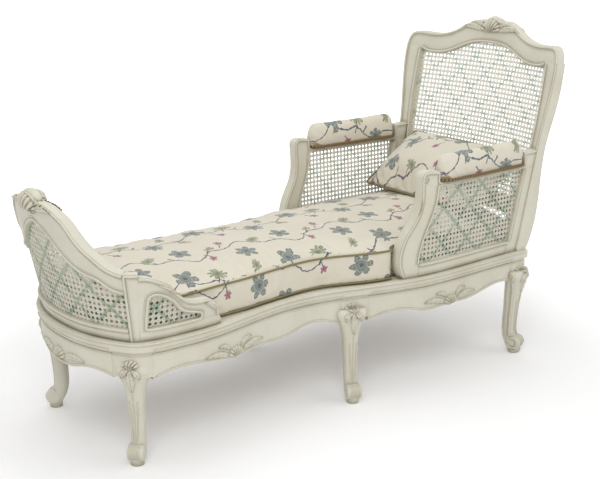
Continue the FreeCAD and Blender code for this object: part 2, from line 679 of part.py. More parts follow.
def arm(stile_front):
    """One caned arm: curved front support, padded rail, sill, rear upright and cane."""
    first, last = station(SEAT_REAR_X - 1), station(ARM_FRONT_X - 25)
    beyond = BACK_FRONT_X + 100 - SEAT_REAR_X
    high_z = ARM_TOP + 30
    wood = wall_band(first, last, ARM_INSET, ARM_THICK, ARM_FLARE, SEAT_TOP, high_z, beyond)
    inset = ARM_INSET + CANE_DEPTH
    sheet = wall_band(first, last, inset, CANE_THICK, ARM_FLARE, SEAT_TOP, high_z)
    high = ARM_TOP - SEAT_TOP
    x0 = ARM_FRONT_X
    rear_x = BACK_FRONT_X + 120
    front_edge = [
        (x0, SEAT_TOP - 1), (x0 - 10, SEAT_TOP + 0.33 * high), (x0 + 8, SEAT_TOP + 0.45 * high),
        (x0 + 29, SEAT_TOP + 0.55 * high), (x0 + 43, SEAT_TOP + 0.67 * high),
        (x0 + 45, SEAT_TOP + 0.80 * high), (x0 + 43, SEAT_TOP + 0.93 * high),
    ]
    knuckle = [front_edge[-1], (x0 + 48, ARM_TOP - 6), (x0 + 73, ARM_TOP - 1), (PAD_FRONT_X - 8, ARM_TOP - 6)]
    outline = [
        front_edge,
        knuckle,
        [knuckle[-1], (PAD_FRONT_X - 8, ARM_LEDGE)],
        [(PAD_FRONT_X - 8, ARM_LEDGE), (PAD_REAR_X + 8, ARM_LEDGE)],
        [(PAD_REAR_X + 8, ARM_LEDGE), (PAD_REAR_X + 8, ARM_TOP)],
        [(PAD_REAR_X + 8, ARM_TOP), (rear_x, ARM_TOP + 6)],
        [(rear_x, ARM_TOP + 6), (rear_x, SEAT_TOP - 1)],
        [(rear_x, SEAT_TOP - 1), front_edge[0]],
    ]
    sill_z = SEAT_TOP + CANE_SILL + 4
    cane_rear = BACK_FRONT_X - ARM_STILE_WIDE
    rake = BACK_RAKE * (ARM_CANE_TOP - sill_z)
    front = [
        (x0 + 50, sill_z), (x0 + 52, SEAT_TOP + 0.20 * high), (x0 + 68, SEAT_TOP + 0.39 * high),
        (x0 + 92, SEAT_TOP + 0.58 * high), (x0 + 106, ARM_CANE_TOP),
    ]
    hole_runs = [
        front,
        [front[-1], (cane_rear + rake, ARM_CANE_TOP)],
        [(cane_rear + rake, ARM_CANE_TOP), (cane_rear, sill_z)],
        [(cane_rear, sill_z), front[0]],
    ]
    hole = side_plate(hole_runs, -400, -150)
    cane = sheet.common(grown(hole_runs, lambda x, z: V(x, -400, z), CANE_TUCK, V(0, 250, 0)))
    frame = wood.common(side_plate(outline, -400, -150)).cut(hole).cut(cane).cut(stile_front)
    upright_zone = side_plate(
        [
            [(cane_rear - CANE_TUCK - 2, SEAT_TOP), (cane_rear + rake - CANE_TUCK - 2, ARM_CANE_TOP)],
            [(cane_rear + rake - CANE_TUCK - 2, ARM_CANE_TOP), (rear_x, ARM_CANE_TOP)],
            [(rear_x, ARM_CANE_TOP), (rear_x, SEAT_TOP)],
            [(rear_x, SEAT_TOP), (cane_rear - CANE_TUCK - 2, SEAT_TOP)],
        ],
        -400,
        -150,
    )
    upright = frame.common(upright_zone)
    rest = frame.cut(upright_zone)
    support = rest.common(box((0, x0 + 118), (-400, 0), (SEAT_TOP, 900)))
    support = support.cut(box((x0 + 50, x0 + 118), (-400, 0), (0, sill_z)))
    sill = rest.common(box((x0 + 50, 900), (-400, 0), (0, sill_z)))
    rail = rest.common(box((x0 + 118, 900), (-400, 0), (sill_z, 900)))
    return support, rail, sill, upright, cane


def pad_ends():
    """The two end centres of the pad, in the middle of the arm rail."""
    out = ARM_FLARE * (ARM_LEDGE - SEAT_TOP) - ARM_INSET - ARM_THICK / 2
    x_a, x_b = PAD_FRONT_X + PAD_HALF, PAD_REAR_X - PAD_HALF
    return V(x_a, -half_width(x_a) - out, 0), V(x_b, -half_width(x_b) - out, 0)


def stadium(half, z):
    """A flat ring with round ends that follows the arm rail's line."""
    a, b = pad_ends()
    along = (b - a).normalize()
    side = V(-along.y, along.x, 0) * half
    lift = V(0, 0, z)
    edges = [
        Part.LineSegment(a - side + lift, b - side + lift).toShape(),
        Part.Arc(b - side + lift, b + along * half + lift, b + side + lift).toShape(),
        Part.LineSegment(b + side + lift, a + side + lift).toShape(),
        Part.Arc(a + side + lift, a - along * half + lift, a - side + lift).toShape(),
    ]
    return Part.Wire(edges)


def arm_pad():
    """The stuffed pad over the arm rail's core, with the braid round its foot."""
    swell = PAD_TOP - ARM_LEDGE
    levels = [
        (0.0, 0.0), (0.25, 1.5), (0.50, 0.5), (0.72, -4.0), (0.88, -10.0), (0.97, -17.0),
        (1.0, -22.0),
    ]
    rings = [stadium(PAD_HALF + grow, ARM_LEDGE + swell * level) for level, grow in levels]
    pad = Part.makeLoft(rings, True, False)
    a, b = pad_ends()
    along = (b - a).normalize()
    side = V(-along.y, along.x, 0) * PAD_CORE_HALF
    corners = [a - side, b - side, b + side, a + side, a - side]
    lifted = [corner + V(0, 0, ARM_LEDGE) for corner in corners]
    core = Part.Face(Part.makePolygon(lifted)).extrude(V(0, 0, PAD_CORE_HIGH))
    braid = Part.Face(stadium(PAD_HALF + BRAID_THICK, ARM_LEDGE)).extrude(V(0, 0, BRAID_HIGH))
    return pad.cut(core), core, braid.cut(pad)


# Seat deck and what holds the frame together inside

def deck():
    """Straps both ways across the rebate, with the deck cloth stretched over them."""
    low = SEAT_TOP - REBATE_DEEP
    bed = plan_prism(-REBATE_EDGE - 1, -REBATE_EDGE - 1, low - 5, SEAT_TOP)
    straps = []
    span = SEAT_REAR_X - SEAT_FOOT_X
    for i in range(CROSS_STRAPS):
        x = SEAT_FOOT_X + span * (i + 0.75) / (CROSS_STRAPS + 0.5)
        straps.append(box((x - WEB_WIDE / 2, x + WEB_WIDE / 2), (-400, 400), (low, low + WEB_THICK)))
    pitch = 2 * (WAIST_HALF - RAIL_THICK) / (LONG_STRAPS + 0.4)
    for i in range(LONG_STRAPS):
        y = (i - (LONG_STRAPS - 1) / 2) * pitch
        z = low + WEB_THICK
        straps.append(box((-900, 900), (y - WEB_WIDE / 2, y + WEB_WIDE / 2), (z, z + WEB_THICK)))
    straps = [strap.common(bed) for strap in straps]
    cloth = plan_prism(
        -REBATE_EDGE - 1, -REBATE_EDGE - 1, low + 2 * WEB_THICK, SEAT_TOP - DECK_GAP
    )
    return Part.makeCompound(straps), cloth


def cross_rail():
    """The rail under the deck, tenoned into the two middle legs."""
    inner = half_width(MID_LEG_X) - BLOCK_THICK + CROSS_RAIL_TENON
    top = SEAT_TOP - REBATE_DEEP - CROSS_RAIL_SAG
    half = CROSS_RAIL_THICK / 2
    return box((MID_LEG_X - half, MID_LEG_X + half), (-inner, inner), (top - CROSS_RAIL_HIGH, top))


def tenon(end_x, way, half_y):
    """A tenon on a side rail's end, pointing along X."""
    z_high = SEAT_TOP - REBATE_DEEP - TENON_SINK
    x_a, x_b = sorted((end_x - way * 4, end_x + way * TENON_LONG))
    y = (-half_y - TENON_THICK / 2, -half_y + TENON_THICK / 2)
    return box((x_a, x_b), y, (z_high - TENON_HIGH, z_high))


def cross_tenon(x, end_half):
    """A tenon on the left end of a rail across the seat, pointing along Y."""
    z_high = SEAT_TOP - REBATE_DEEP - TENON_SINK
    x_pair = (x - TENON_THICK / 2, x + TENON_THICK / 2)
    return box(x_pair, (-end_half - CROSS_TENON_LONG, -end_half + 4), (z_high - TENON_HIGH, z_high))


def peg(start, way):
    """A round peg driven through a joint, flush with the rail's face."""
    pin = Part.makeCylinder(PEG_RADIUS, PEG_LONG + 20, start - way * 20, way)
    return pin.common(plan_prism(0, 0, start.z - 2 * PEG_RADIUS, start.z + 2 * PEG_RADIUS))


def corner_block(meet, way, post):
    """A three-sided block glued inside a corner, its long face across the corner.

    It meets the leg's block at a point, and way is the sign of X towards the corner."""
    depth = CORNER_BLOCK_DEEP
    z_high = SEAT_TOP - REBATE_DEEP - CORNER_BLOCK_DROP
    z_low = z_high - CORNER_BLOCK_HIGH
    reach = 130.0
    outwards = V(way, -1, 0).normalize()
    face = V(meet[0], meet[1], z_low) - outwards * depth
    across = V(1, way, 0).normalize() * reach
    corner = face + outwards * reach
    points = [face - across, face + across, corner, face - across]
    block = Part.Face(Part.makePolygon(points)).extrude(V(0, 0, CORNER_BLOCK_HIGH))
    inside = plan_prism(-RAIL_THICK, -RAIL_THICK, z_low - 1, z_high + 1)
    block = block.common(inside).cut(post)
    screws = []
    for share in (0.27, 0.73):
        start = V(face.x, face.y, z_low + CORNER_BLOCK_HIGH * share)
        shank = Part.makeCylinder(SCREW_RADIUS, SCREW_LONG, start, outwards)
        head = Part.makeCylinder(SCREW_HEAD, SCREW_HEAD_HIGH, start - outwards * SCREW_HEAD_HIGH, outwards)
        screws.append(shank.fuse(head))
    return block.cut(screws), screws


# Soft furnishings

def cushion_side():
    """The cushion's left outline from its ear to the middle of the foot end."""
    inset = WALL_INSET + WALL_THICK + CUSHION_SIDE_GAP
    waist_x = WAIST_X + 60
    wing_half = half_width(WING_END_X) - inset
    ear_x = ARM_FRONT_X - CUSHION_EAR_GAP
    points = []
    for i in range(4):
        x = ear_x + (waist_x - ear_x) * i / 4
        share = (x - waist_x) / (ear_x - waist_x)
        points.append((x, CUSHION_WAIST_HALF + (CUSHION_EAR_HALF - CUSHION_WAIST_HALF) * ease(share)))
    for i in range(4):
        x = waist_x + (WING_END_X - waist_x) * i / 4
        share = (x - waist_x) / (WING_END_X - waist_x)
        points.append((x, CUSHION_WAIST_HALF + (wing_half - CUSHION_WAIST_HALF) * ease(share)))
    first = station(WING_END_X)
    for i in range(9):
        point = plan_point(first + (PLAN_MIDDLE - first) * i / 9, -inset, 0)
        points.append((point.x, -point.y))
    points.append((SEAT_FOOT_X + inset, 0.0))
    return points


def seat_cushion():
    """A box cushion with a crowned top, cut to the seat's plan."""
    z = SEAT_TOP + SOFT_GAP
    arm_face = ARM_INSET + ARM_THICK + CUSHION_SIDE_GAP
    rear_half = half_width(BACK_FRONT_X) - arm_face
    rear_x = BACK_FRONT_X - CUSHION_REAR_GAP
    side = cushion_side()
    foot_x = side[-1][0]
    curve = [(x, -y) for x, y in side] + [(x, y) for x, y in side[-2::-1]]
    body = [V(x, y, z) for x, y in curve]
    front_half = half_width(body[0].x) - arm_face
    inner_a, inner_b = V(body[-1].x, front_half, z), V(body[0].x, -front_half, z)
    rear_a, rear_b = V(rear_x, rear_half, z), V(rear_x, -rear_half, z)
    corners = [body[-1], inner_a, rear_a, rear_b, inner_b, body[0]]
    edges = [spline(body).toShape()]
    for a, b in zip(corners, corners[1:]):
        edges.append(Part.LineSegment(a, b).toShape())
    block = Part.Face(Part.Wire(edges)).extrude(V(0, 0, CUSHION_TOP - z + 20))
    crown = CUSHION_TOP - CUSHION_EDGE_Z
    radius = (CUSHION_EAR_HALF ** 2 + crown ** 2) / (2 * crown)
    start = V(foot_x - 100, 0, CUSHION_TOP - radius)
    across = Part.makeCylinder(radius, rear_x - foot_x + 200, start, V(1, 0, 0))
    return block.common(across)


def pillow():
    """A knife-edged pillow, fat in the middle, leaning on the back across the seat."""
    half_thick = PILLOW_THICK / 2

    def lens(half_chord, width):
        top = Part.Arc(V(-half_chord, -width, 0), V(0, -width, half_thick), V(half_chord, -width, 0))
        low = Part.Arc(V(half_chord, -width, 0), V(0, -width, -half_thick), V(-half_chord, -width, 0))
        face = Part.Face(Part.Wire([top.toShape(), low.toShape()]))
        return face.extrude(V(0, 2 * width, 0))

    section = lens(PILLOW_DEEP / 2, PILLOW_HALF)
    lengthwise = lens(PILLOW_HALF, PILLOW_DEEP)
    lengthwise.rotate(V(0, 0, 0), V(0, 0, 1), 90)
    form = section.common(lengthwise)
    form.rotate(V(0, 0, 0), V(0, 1, 0), -PILLOW_TILT)
    radius = ((PILLOW_DEEP / 2) ** 2 + half_thick ** 2) / (2 * half_thick)
    drop = radius - (radius - half_thick) * math.cos(math.radians(PILLOW_TILT))
    form.translate(V(PILLOW_X, 0, CUSHION_TOP + SOFT_GAP + drop))
    return form


def seat_frame():
    """Rails, legs and rear blocks, joined by pegged tenons, with their corner blocks."""
    rails = side_rails()
    foot_leg, mid_leg, rear_leg = seat_legs()
    foot_shares = [
        (0.0, 0.05), (0.18, 0.12), (0.34, 0.3), (0.52, 0.75), (0.74, 0.98), (0.90, 0.8),
        (1.0, 0.45),
    ]
    rear_shares = [(0.0, 0.9), (0.5, 0.9), (1.0, 0.9)]
    rear_half = REAR_HALF - BLOCK_THICK
    foot_rail = end_rail((-900, -600), CORNER_BLOCK_HALF, foot_shares)
    rear_rail = end_rail((500, 800), rear_half, rear_shares)

    mid_a, mid_b = MID_LEG_X - LEG_BLOCK_HALF, MID_LEG_X + LEG_BLOCK_HALF
    inset = RAIL_THICK / 2
    side = {
        "foot_corner": tenon(CORNER_BLOCK_X, -1, half_width(CORNER_BLOCK_X) - inset),
        "foot_mid": tenon(mid_a, 1, half_width(mid_a) - inset),
        "head_mid": tenon(mid_b, -1, half_width(mid_b) - inset),
        "head_rear": tenon(REAR_BLOCK_X, 1, half_width(REAR_BLOCK_X) - inset),
    }
    foot_cross = cross_tenon(FOOT_CORNER_X + FOOT_TENON_SHIFT, CORNER_BLOCK_HALF)
    rear_cross = cross_tenon(SEAT_REAR_X - inset, rear_half)

    pegs = []
    for piece in side.values():
        centre = piece.BoundBox.Center
        pegs.append(peg(V(centre.x, piece.BoundBox.YMin - TENON_THICK, centre.z), V(0, 1, 0)))
    cross_centre = rear_cross.BoundBox.Center
    pegs.append(peg(V(rear_cross.BoundBox.XMax + TENON_THICK, cross_centre.y, cross_centre.z), V(-1, 0, 0)))

    foot_side = rails["side_rail_foot"].fuse([side["foot_corner"], side["foot_mid"]]).cut(pegs)
    head_side = rails["side_rail_head"].fuse([side["head_mid"], side["head_rear"]]).cut(pegs)
    foot_rail = foot_rail.fuse([foot_cross, mirrored(foot_cross)])
    rear_rail = rear_rail.fuse([rear_cross, mirrored(rear_cross)]).cut(pegs + [mirrored(p) for p in pegs])
    beam = cross_rail()
    foot_leg = foot_leg.cut([side["foot_corner"], foot_cross] + pegs)
    mid_leg = mid_leg.cut([side["foot_mid"], side["head_mid"], beam] + pegs)
    rear_leg = rear_leg.cut([side["head_rear"], rear_cross] + pegs)
    foot_side = foot_side.cut([foot_leg, mid_leg])
    head_side = head_side.cut([mid_leg, rear_leg])
    foot_rail = foot_rail.cut([foot_leg, mirrored(foot_leg)])

    rear_meet = (REAR_BLOCK_X, -rear_half)
    apex = plan_point(station(FOOT_CORNER_X), -BLOCK_THICK, 0)
    rear_block, rear_screws = corner_block(rear_meet, 1, rear_leg)
    foot_block, foot_screws = corner_block((apex.x, apex.y), -1, foot_leg)
    screws = rear_screws + foot_screws
    foot_leg = foot_leg.cut(foot_screws)
    rear_leg = rear_leg.cut(rear_screws)

    add("foot_rail", foot_rail)
    add("rear_rail", rear_rail)
    add_pair("side_rail_foot", foot_side)
    add_pair("side_rail_head", head_side)
    add_pair("foot_leg", foot_leg)
    add_pair("mid_leg", mid_leg)
    add("middle_cross_rail", beam)
    add("tenon_pegs", Part.makeCompound(pegs + [mirrored(p) for p in pegs]))
    blocks = [rear_block, foot_block]
    add("corner_blocks", Part.makeCompound(blocks + [mirrored(b) for b in blocks]))
    add("corner_block_screws", Part.makeCompound(screws + [mirrored(p) for p in screws]))
    return rear_leg


def foot_end():
    crest_rail, sill, cane = footboard()
    add("footboard_crest_rail", crest_rail)
    add("footboard_sill", sill)
    add("footboard_cane", cane)
    add_pair("footboard_post", footboard_post(cane))
    wing_rail, wing_sill, wing_cane = wing()
    add_pair("wing_rail", wing_rail)
    add_pair("wing_sill", wing_sill)
    add_pair("wing_cane", wing_cane)


def head_end(rear_leg):
    crest, back_sill, back_cane, outer, cutters = back()
    add("back_crest_rail", crest)
    add("back_lower_rail", back_sill)
    add("back_cane", back_cane)
    add_pair("rear_post", rear_leg.fuse(back_stile(outer, cutters)))
    behind = back_slab(0, 300, SEAT_TOP - 20, 1100)
    support, rail, arm_sill, upright, arm_cane = arm(behind)
    pad, core, braid = arm_pad()
    add_pair("arm_support", support)
    add_pair("arm_rail", rail.fuse(core))
    add_pair("arm_sill", arm_sill)
    add_pair("arm_upright", upright)
    add_pair("arm_cane", arm_cane)
    add_pair("arm_pad", pad)
    add_pair("arm_pad_braid", braid)


def furnishings():
    straps, cloth = deck()
    add("seat_webbing", straps)
    add("deck_cloth", cloth)
    add("seat_cushion", seat_cushion())
    add("pillow", pillow())


def main():
    rear_leg = seat_frame()
    foot_end()
    head_end(rear_leg)
    furnishings()
    os.makedirs("parts", exist_ok=True)
    for name, shape in pieces.items():
        print(name, len(shape.Solids), round(shape.Volume), shape.isValid())
        shape.exportStep("parts/" + name + ".step")


main()
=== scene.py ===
import math

import bmesh
import bpy
import numpy as np
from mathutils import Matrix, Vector
from mathutils.bvhtree import BVHTree
from mathutils.kdtree import KDTree


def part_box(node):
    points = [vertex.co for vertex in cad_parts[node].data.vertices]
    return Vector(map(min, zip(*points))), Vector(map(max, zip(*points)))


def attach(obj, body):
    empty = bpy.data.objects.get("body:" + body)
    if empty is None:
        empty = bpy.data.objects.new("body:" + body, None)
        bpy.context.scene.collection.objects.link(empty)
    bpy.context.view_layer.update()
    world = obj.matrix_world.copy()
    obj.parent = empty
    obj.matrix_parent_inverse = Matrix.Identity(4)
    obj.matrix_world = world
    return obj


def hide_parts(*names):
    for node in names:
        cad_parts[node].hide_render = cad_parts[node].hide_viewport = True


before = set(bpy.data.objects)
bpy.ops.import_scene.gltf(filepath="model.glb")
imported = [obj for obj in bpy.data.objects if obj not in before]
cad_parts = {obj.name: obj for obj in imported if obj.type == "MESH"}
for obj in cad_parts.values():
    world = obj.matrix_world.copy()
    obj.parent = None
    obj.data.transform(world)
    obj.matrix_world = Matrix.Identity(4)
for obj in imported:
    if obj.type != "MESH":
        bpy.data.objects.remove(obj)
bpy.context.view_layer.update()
SIDES = ("left", "right")
OUT_OF = {"left": Vector((0, -1, 0)), "right": Vector((0, 1, 0))}

# Camera, taken to be 600 by 479
CAMERA_PLACE = (-1.9649, -2.5509, 1.3516)
CAMERA_TILT = 73.803
CAMERA_TURN = -37.966
CAMERA_LENS = 69.36

# Carved frame
EDGE_ROUND = 0.0022
SHARP_ANGLE = math.radians(38)
SEAM_REACH = 0.0022
SHORTEST_RUN = 0.035
BEAD_STEP = 0.004
EDGE_BEAD = (0.0046, 0.0038)
LINE_BEAD = (0.0125, 0.0013)
RAIL_BEADS = ((0.0060, 0.0021),)
ARM_BEADS = ((0.0046, 0.0034), (0.0115, 0.0013))

# Woven cane
FOOT_CANE_MIDDLE_Z = 0.42
CANE_PITCH = 0.0142
PAIR_GAP = 0.0032
STRAND_WIDE = 0.0021
STRAND_THICK = 0.0006
STRAND_WAVE = 0.0006

# Stuffed pieces
CUSHION_VOXEL = 0.0085
PILLOW_VOXEL = 0.007
PAD_VOXEL = 0.0045
PIPING_RADIUS = 0.0036
BRAID_RADIUS = 0.0042
BRAID_TURNS = 95


def srgb(red, green, blue):
    """A display colour of 0 to 255 as linear light."""
    def linear(value):
        value /= 255
        return value / 12.92 if value <= 0.04045 else ((value + 0.055) / 1.055) ** 2.4
    return (linear(red), linear(green), linear(blue), 1.0)


PAINT = srgb(217, 214, 198)
# Glaze colour: the antique glaze in the hollows, and also painted shade in creases and between parts
GLAZE_AND_SHADE = srgb(126, 115, 88)
WORN = srgb(192, 180, 152)
CANE_GREEN = srgb(146, 170, 146)
CANE_PINK = srgb(222, 180, 172)
CLOTH = srgb(227, 220, 202)
TWIG = srgb(46, 52, 88)
BLUE_LEAF = srgb(50, 68, 88)
OLIVE_LEAF = srgb(84, 98, 70)
MAGENTA = srgb(124, 36, 84)
SEED = srgb(132, 106, 66)
PIPING = srgb(150, 138, 98)
BRAID_DARK = srgb(84, 66, 42)
BRAID_LIGHT = srgb(150, 124, 82)


# Node graphs

class Graph:
    """Short ways to put nodes into a tree and join them."""

    def __init__(self, tree):
        self.tree = tree

    def put(self, kind, inputs=None, **settings):
        node = self.tree.nodes.new(kind)
        for key, value in settings.items():
            setattr(node, key, value)
        for key, value in (inputs or {}).items():
            self.feed(node.inputs[key], value)
        return node

    def feed(self, socket, value):
        if isinstance(value, bpy.types.NodeSocket):
            self.tree.links.new(value, socket)
        else:
            socket.default_value = value

    def calc(self, operation, *values, clamp=False):
        node = self.tree.nodes.new("ShaderNodeMath")
        node.operation = operation
        node.use_clamp = clamp
        for socket, value in zip(node.inputs, values):
            self.feed(socket, value)
        return node.outputs[0]

    def mul(self, *values, clamp=False):
        return self.calc("MULTIPLY", *values, clamp=clamp)

    def add(self, *values):
        return self.calc("ADD", *values)

    def grouped(self, tree, inputs):
        """A node of one of the groups, fed by its sockets' names."""
        return self.put("ShaderNodeGroup", inputs, node_tree=tree).outputs

    def vector(self, operation, *values, out="Vector"):
        node = self.tree.nodes.new("ShaderNodeVectorMath")
        node.operation = operation
        for socket, value in zip(node.inputs, values):
            self.feed(socket, value)
        return node.outputs[out]

    def ramp(self, value, low, high, to_low=0.0, to_high=1.0):
        node = self.put("ShaderNodeMapRange", {0: value, 1: low, 2: high, 3: to_low, 4: to_high})
        return node.outputs[0]

    def blend(self, share, first, second):
        node = self.put("ShaderNodeMix", data_type="RGBA")
        self.feed(node.inputs[0], share)
        self.feed(node.inputs[6], first)
        self.feed(node.inputs[7], second)
        return node.outputs[2]

    def noise(self, vector, scale, detail=2.0, rough=0.5, out=0):
        found = {"Vector": vector, "Scale": scale, "Detail": detail, "Roughness": rough}
        return self.put("ShaderNodeTexNoise", found).outputs[out]


def group(name, inputs, outputs):
    """A shader group with named sockets, and its graph, entry and exit."""
    tree = bpy.data.node_groups.new(name, "ShaderNodeTree")
    for kind, direction in ((inputs, "INPUT"), (outputs, "OUTPUT")):
        for socket, (type_name, value) in kind.items():
            made = tree.interface.new_socket(socket, in_out=direction, socket_type=type_name)
            if value is not None:
                made.default_value = value
    graph = Graph(tree)
    return tree, graph, graph.put("NodeGroupInput"), graph.put("NodeGroupOutput")


FLOAT, COLOUR, VECTOR = "NodeSocketFloat", "NodeSocketColor", "NodeSocketVector"


def aged_shaded_paint_group():
    """Brushed paint: glaze colour laid into hollows, creases and joins between parts by ambient occlusion,
    partly the antique glaze and partly painted shade; worn high edges, cloudy tone and streaks.
    """
    tree, g, entry, leave = group(
        "aged_shaded_paint",
        {"Vector": (VECTOR, None), "Paint": (COLOUR, PAINT), "Glaze_and_shade": (COLOUR, GLAZE_AND_SHADE),
         "Worn": (COLOUR, WORN), "Depth": (FLOAT, 0.016), "Strength": (FLOAT, 0.9)},
        {"Color": (COLOUR, None), "Roughness": (FLOAT, None), "Height": (FLOAT, None)},
    )
    place = entry.outputs["Vector"]
    # Painted shade: ambient occlusion within Depth darkens hollows, creases and joins between parts towards
    # the glaze colour, together with the real glaze
    hollow_shade = g.put("ShaderNodeAmbientOcclusion", {"Distance": entry.outputs["Depth"]}, samples=6)
    shade_and_glaze_share = g.ramp(hollow_shade.outputs["AO"], 0.95, 0.35)
    ridge = g.put("ShaderNodeAmbientOcclusion", {"Distance": 0.004}, samples=4, inside=True)
    high = g.ramp(ridge.outputs["AO"], 0.62, 0.2)
    cloud = g.noise(place, 9.0, 4.0, 0.6)
    streak_place = g.vector("MULTIPLY", place, (28.0, 28.0, 160.0))
    streak = g.noise(streak_place, 2.4, 3.0, 0.6)
    fleck = g.noise(place, 420.0, 2.0, 0.5)
    tone = g.add(g.mul(cloud, 0.65), g.mul(streak, 0.35))
    washed = g.blend(g.ramp(tone, 0.42, 0.68, 0.0, 0.30), entry.outputs["Paint"], entry.outputs["Worn"])
    share = g.mul(shade_and_glaze_share, entry.outputs["Strength"])
    share = g.mul(share, g.ramp(cloud, 0.25, 0.65, 0.55, 1.0), clamp=True)
    glazed_and_shaded = g.blend(share, washed, entry.outputs["Glaze_and_shade"])
    chip = g.mul(high, g.ramp(fleck, 0.50, 0.62), clamp=True)
    worn = g.blend(g.mul(chip, 0.55), glazed_and_shaded, entry.outputs["Worn"])
    g.feed(leave.inputs["Color"], worn)
    g.feed(leave.inputs["Roughness"], g.ramp(tone, 0.3, 0.7, 0.42, 0.60))
    height = g.add(g.mul(streak, 0.7), g.mul(fleck, 0.3))
    g.feed(leave.inputs["Height"], height)
    return tree


def weave_group():
    """Plain woven cloth: threads both ways, slubs and soft soiling."""
    tree, g, entry, leave = group(
        "woven_cloth",
        {"Vector": (VECTOR, None), "Pitch": (FLOAT, 0.0011)},
        {"Threads": (FLOAT, None), "Slub": (FLOAT, None), "Soil": (FLOAT, None)},
    )
    place = entry.outputs["Vector"]
    parts = g.put("ShaderNodeSeparateXYZ", {0: place})
    turn = g.calc("DIVIDE", 2 * math.pi, entry.outputs["Pitch"])
    across = g.calc("SINE", g.mul(parts.outputs[0], turn))
    along = g.calc("SINE", g.mul(parts.outputs[1], turn))
    g.feed(leave.inputs["Threads"], g.ramp(g.mul(across, along), -1.0, 1.0))
    slub_a = g.noise(g.vector("MULTIPLY", place, (40.0, 900.0, 40.0)), 1.0, 2.0)
    slub_b = g.noise(g.vector("MULTIPLY", place, (900.0, 40.0, 40.0)), 1.0, 2.0)
    g.feed(leave.inputs["Slub"], g.mul(g.add(slub_a, slub_b), 0.5))
    g.feed(leave.inputs["Soil"], g.noise(place, 7.0, 4.0, 0.6))
    return tree


def blossom_group():
    """A printed blossom round a centre: petals with hatched veins. Gives its mask and shade."""
    tree, g, entry, leave = group(
        "blossom",
        {"Vector": (VECTOR, None), "Centre": (VECTOR, (0, 0, 0)), "Radius": (FLOAT, 0.03),
         "Petals": (FLOAT, 5.0), "Turn": (FLOAT, 0.0), "Squeeze": (FLOAT, 1.0)},
        {"Mask": (FLOAT, None), "Shade": (FLOAT, None)},
    )
    local = g.vector("SUBTRACT", entry.outputs["Vector"], entry.outputs["Centre"])
    turn = {"Vector": local, "Angle": entry.outputs["Turn"]}
    turned = g.put("ShaderNodeVectorRotate", turn, rotation_type="Z_AXIS")
    parts = g.put("ShaderNodeSeparateXYZ", {0: turned.outputs[0]})
    tall = g.mul(parts.outputs[1], entry.outputs["Squeeze"])
    angle = g.calc("ARCTAN2", tall, parts.outputs[0])
    square = g.add(g.calc("POWER", parts.outputs[0], 2.0), g.calc("POWER", tall, 2.0))
    reach = g.calc("DIVIDE", g.calc("SQRT", square), entry.outputs["Radius"])
    half_turns = g.mul(angle, g.mul(entry.outputs["Petals"], 0.5))
    wave = g.calc("ABSOLUTE", g.calc("COSINE", half_turns))
    rim = g.ramp(wave, 0.0, 1.0, 0.50, 1.0)
    inside = g.calc("DIVIDE", reach, rim)
    edge = g.ramp(inside, 1.0, 0.93)
    vein = g.calc("SINE", g.mul(angle, 34.0))
    ring = g.calc("SINE", g.mul(reach, 22.0))
    hatch = g.ramp(g.add(vein, g.mul(ring, 0.8)), -0.5, 0.25)
    outline = g.ramp(inside, 0.80, 0.92)
    eye = g.ramp(reach, 0.26, 0.18)
    shade = g.calc("MAXIMUM", g.mul(hatch, 0.85), g.calc("MAXIMUM", outline, eye))
    g.feed(leave.inputs["Mask"], edge)
    g.feed(leave.inputs["Shade"], shade)
    return tree


def twig_group():
    """A printed twig between two points."""
    tree, g, entry, leave = group(
        "twig",
        {"Vector": (VECTOR, None), "From": (VECTOR, (0, 0, 0)), "To": (VECTOR, (0.1, 0, 0)),
         "Wide": (FLOAT, 0.0017)},
        {"Mask": (FLOAT, None)},
    )
    reach = g.vector("SUBTRACT", entry.outputs["To"], entry.outputs["From"])
    local = g.vector("SUBTRACT", entry.outputs["Vector"], entry.outputs["From"])
    along = g.vector("DOT_PRODUCT", local, reach, out="Value")
    whole = g.vector("DOT_PRODUCT", reach, reach, out="Value")
    share = g.calc("DIVIDE", along, whole, clamp=True)
    near = g.put("ShaderNodeVectorMath", operation="SCALE")
    g.feed(near.inputs[0], reach)
    g.feed(near.inputs[3], share)
    far = g.vector("LENGTH", g.vector("SUBTRACT", local, near.outputs[0]), out="Value")
    ratio = g.calc("DIVIDE", far, entry.outputs["Wide"])
    g.feed(leave.inputs["Mask"], g.ramp(ratio, 1.25, 0.8))
    return tree


# The print's repeat, in metres: crooked stems across it, with blossoms, leaf fans and seed heads
TILE = (0.330, 0.290)
STEMS = [(0.062, 0.022, 0.010, 0.4), (0.205, 0.026, -0.012, 2.3)]
BLOSSOMS = [
    ((0.052, 0.104), 0.0290, 5, 0.3, 1.0, "blue"),
    ((0.214, 0.036), 0.0260, 7, 1.1, 1.15, "blue"),
    ((0.286, 0.168), 0.0280, 6, 2.0, 1.0, "blue"),
    ((0.118, 0.238), 0.0270, 5, 0.9, 1.1, "blue"),
    ((0.146, 0.098), 0.0250, 9, 0.0, 1.6, "olive"),
    ((0.018, 0.232), 0.0240, 9, 2.5, 1.7, "olive"),
    ((0.268, 0.096), 0.0200, 9, 1.9, 1.8, "olive"),
    ((0.100, 0.030), 0.0120, 5, 0.6, 1.3, "magenta"),
    ((0.180, 0.168), 0.0130, 5, 2.2, 1.4, "magenta"),
    ((0.252, 0.256), 0.0125, 5, 1.2, 1.3, "magenta"),
    ((0.308, 0.030), 0.0170, 3, 0.5, 1.7, "seed"),
    ((0.206, 0.232), 0.0160, 3, 2.8, 1.7, "seed"),
]
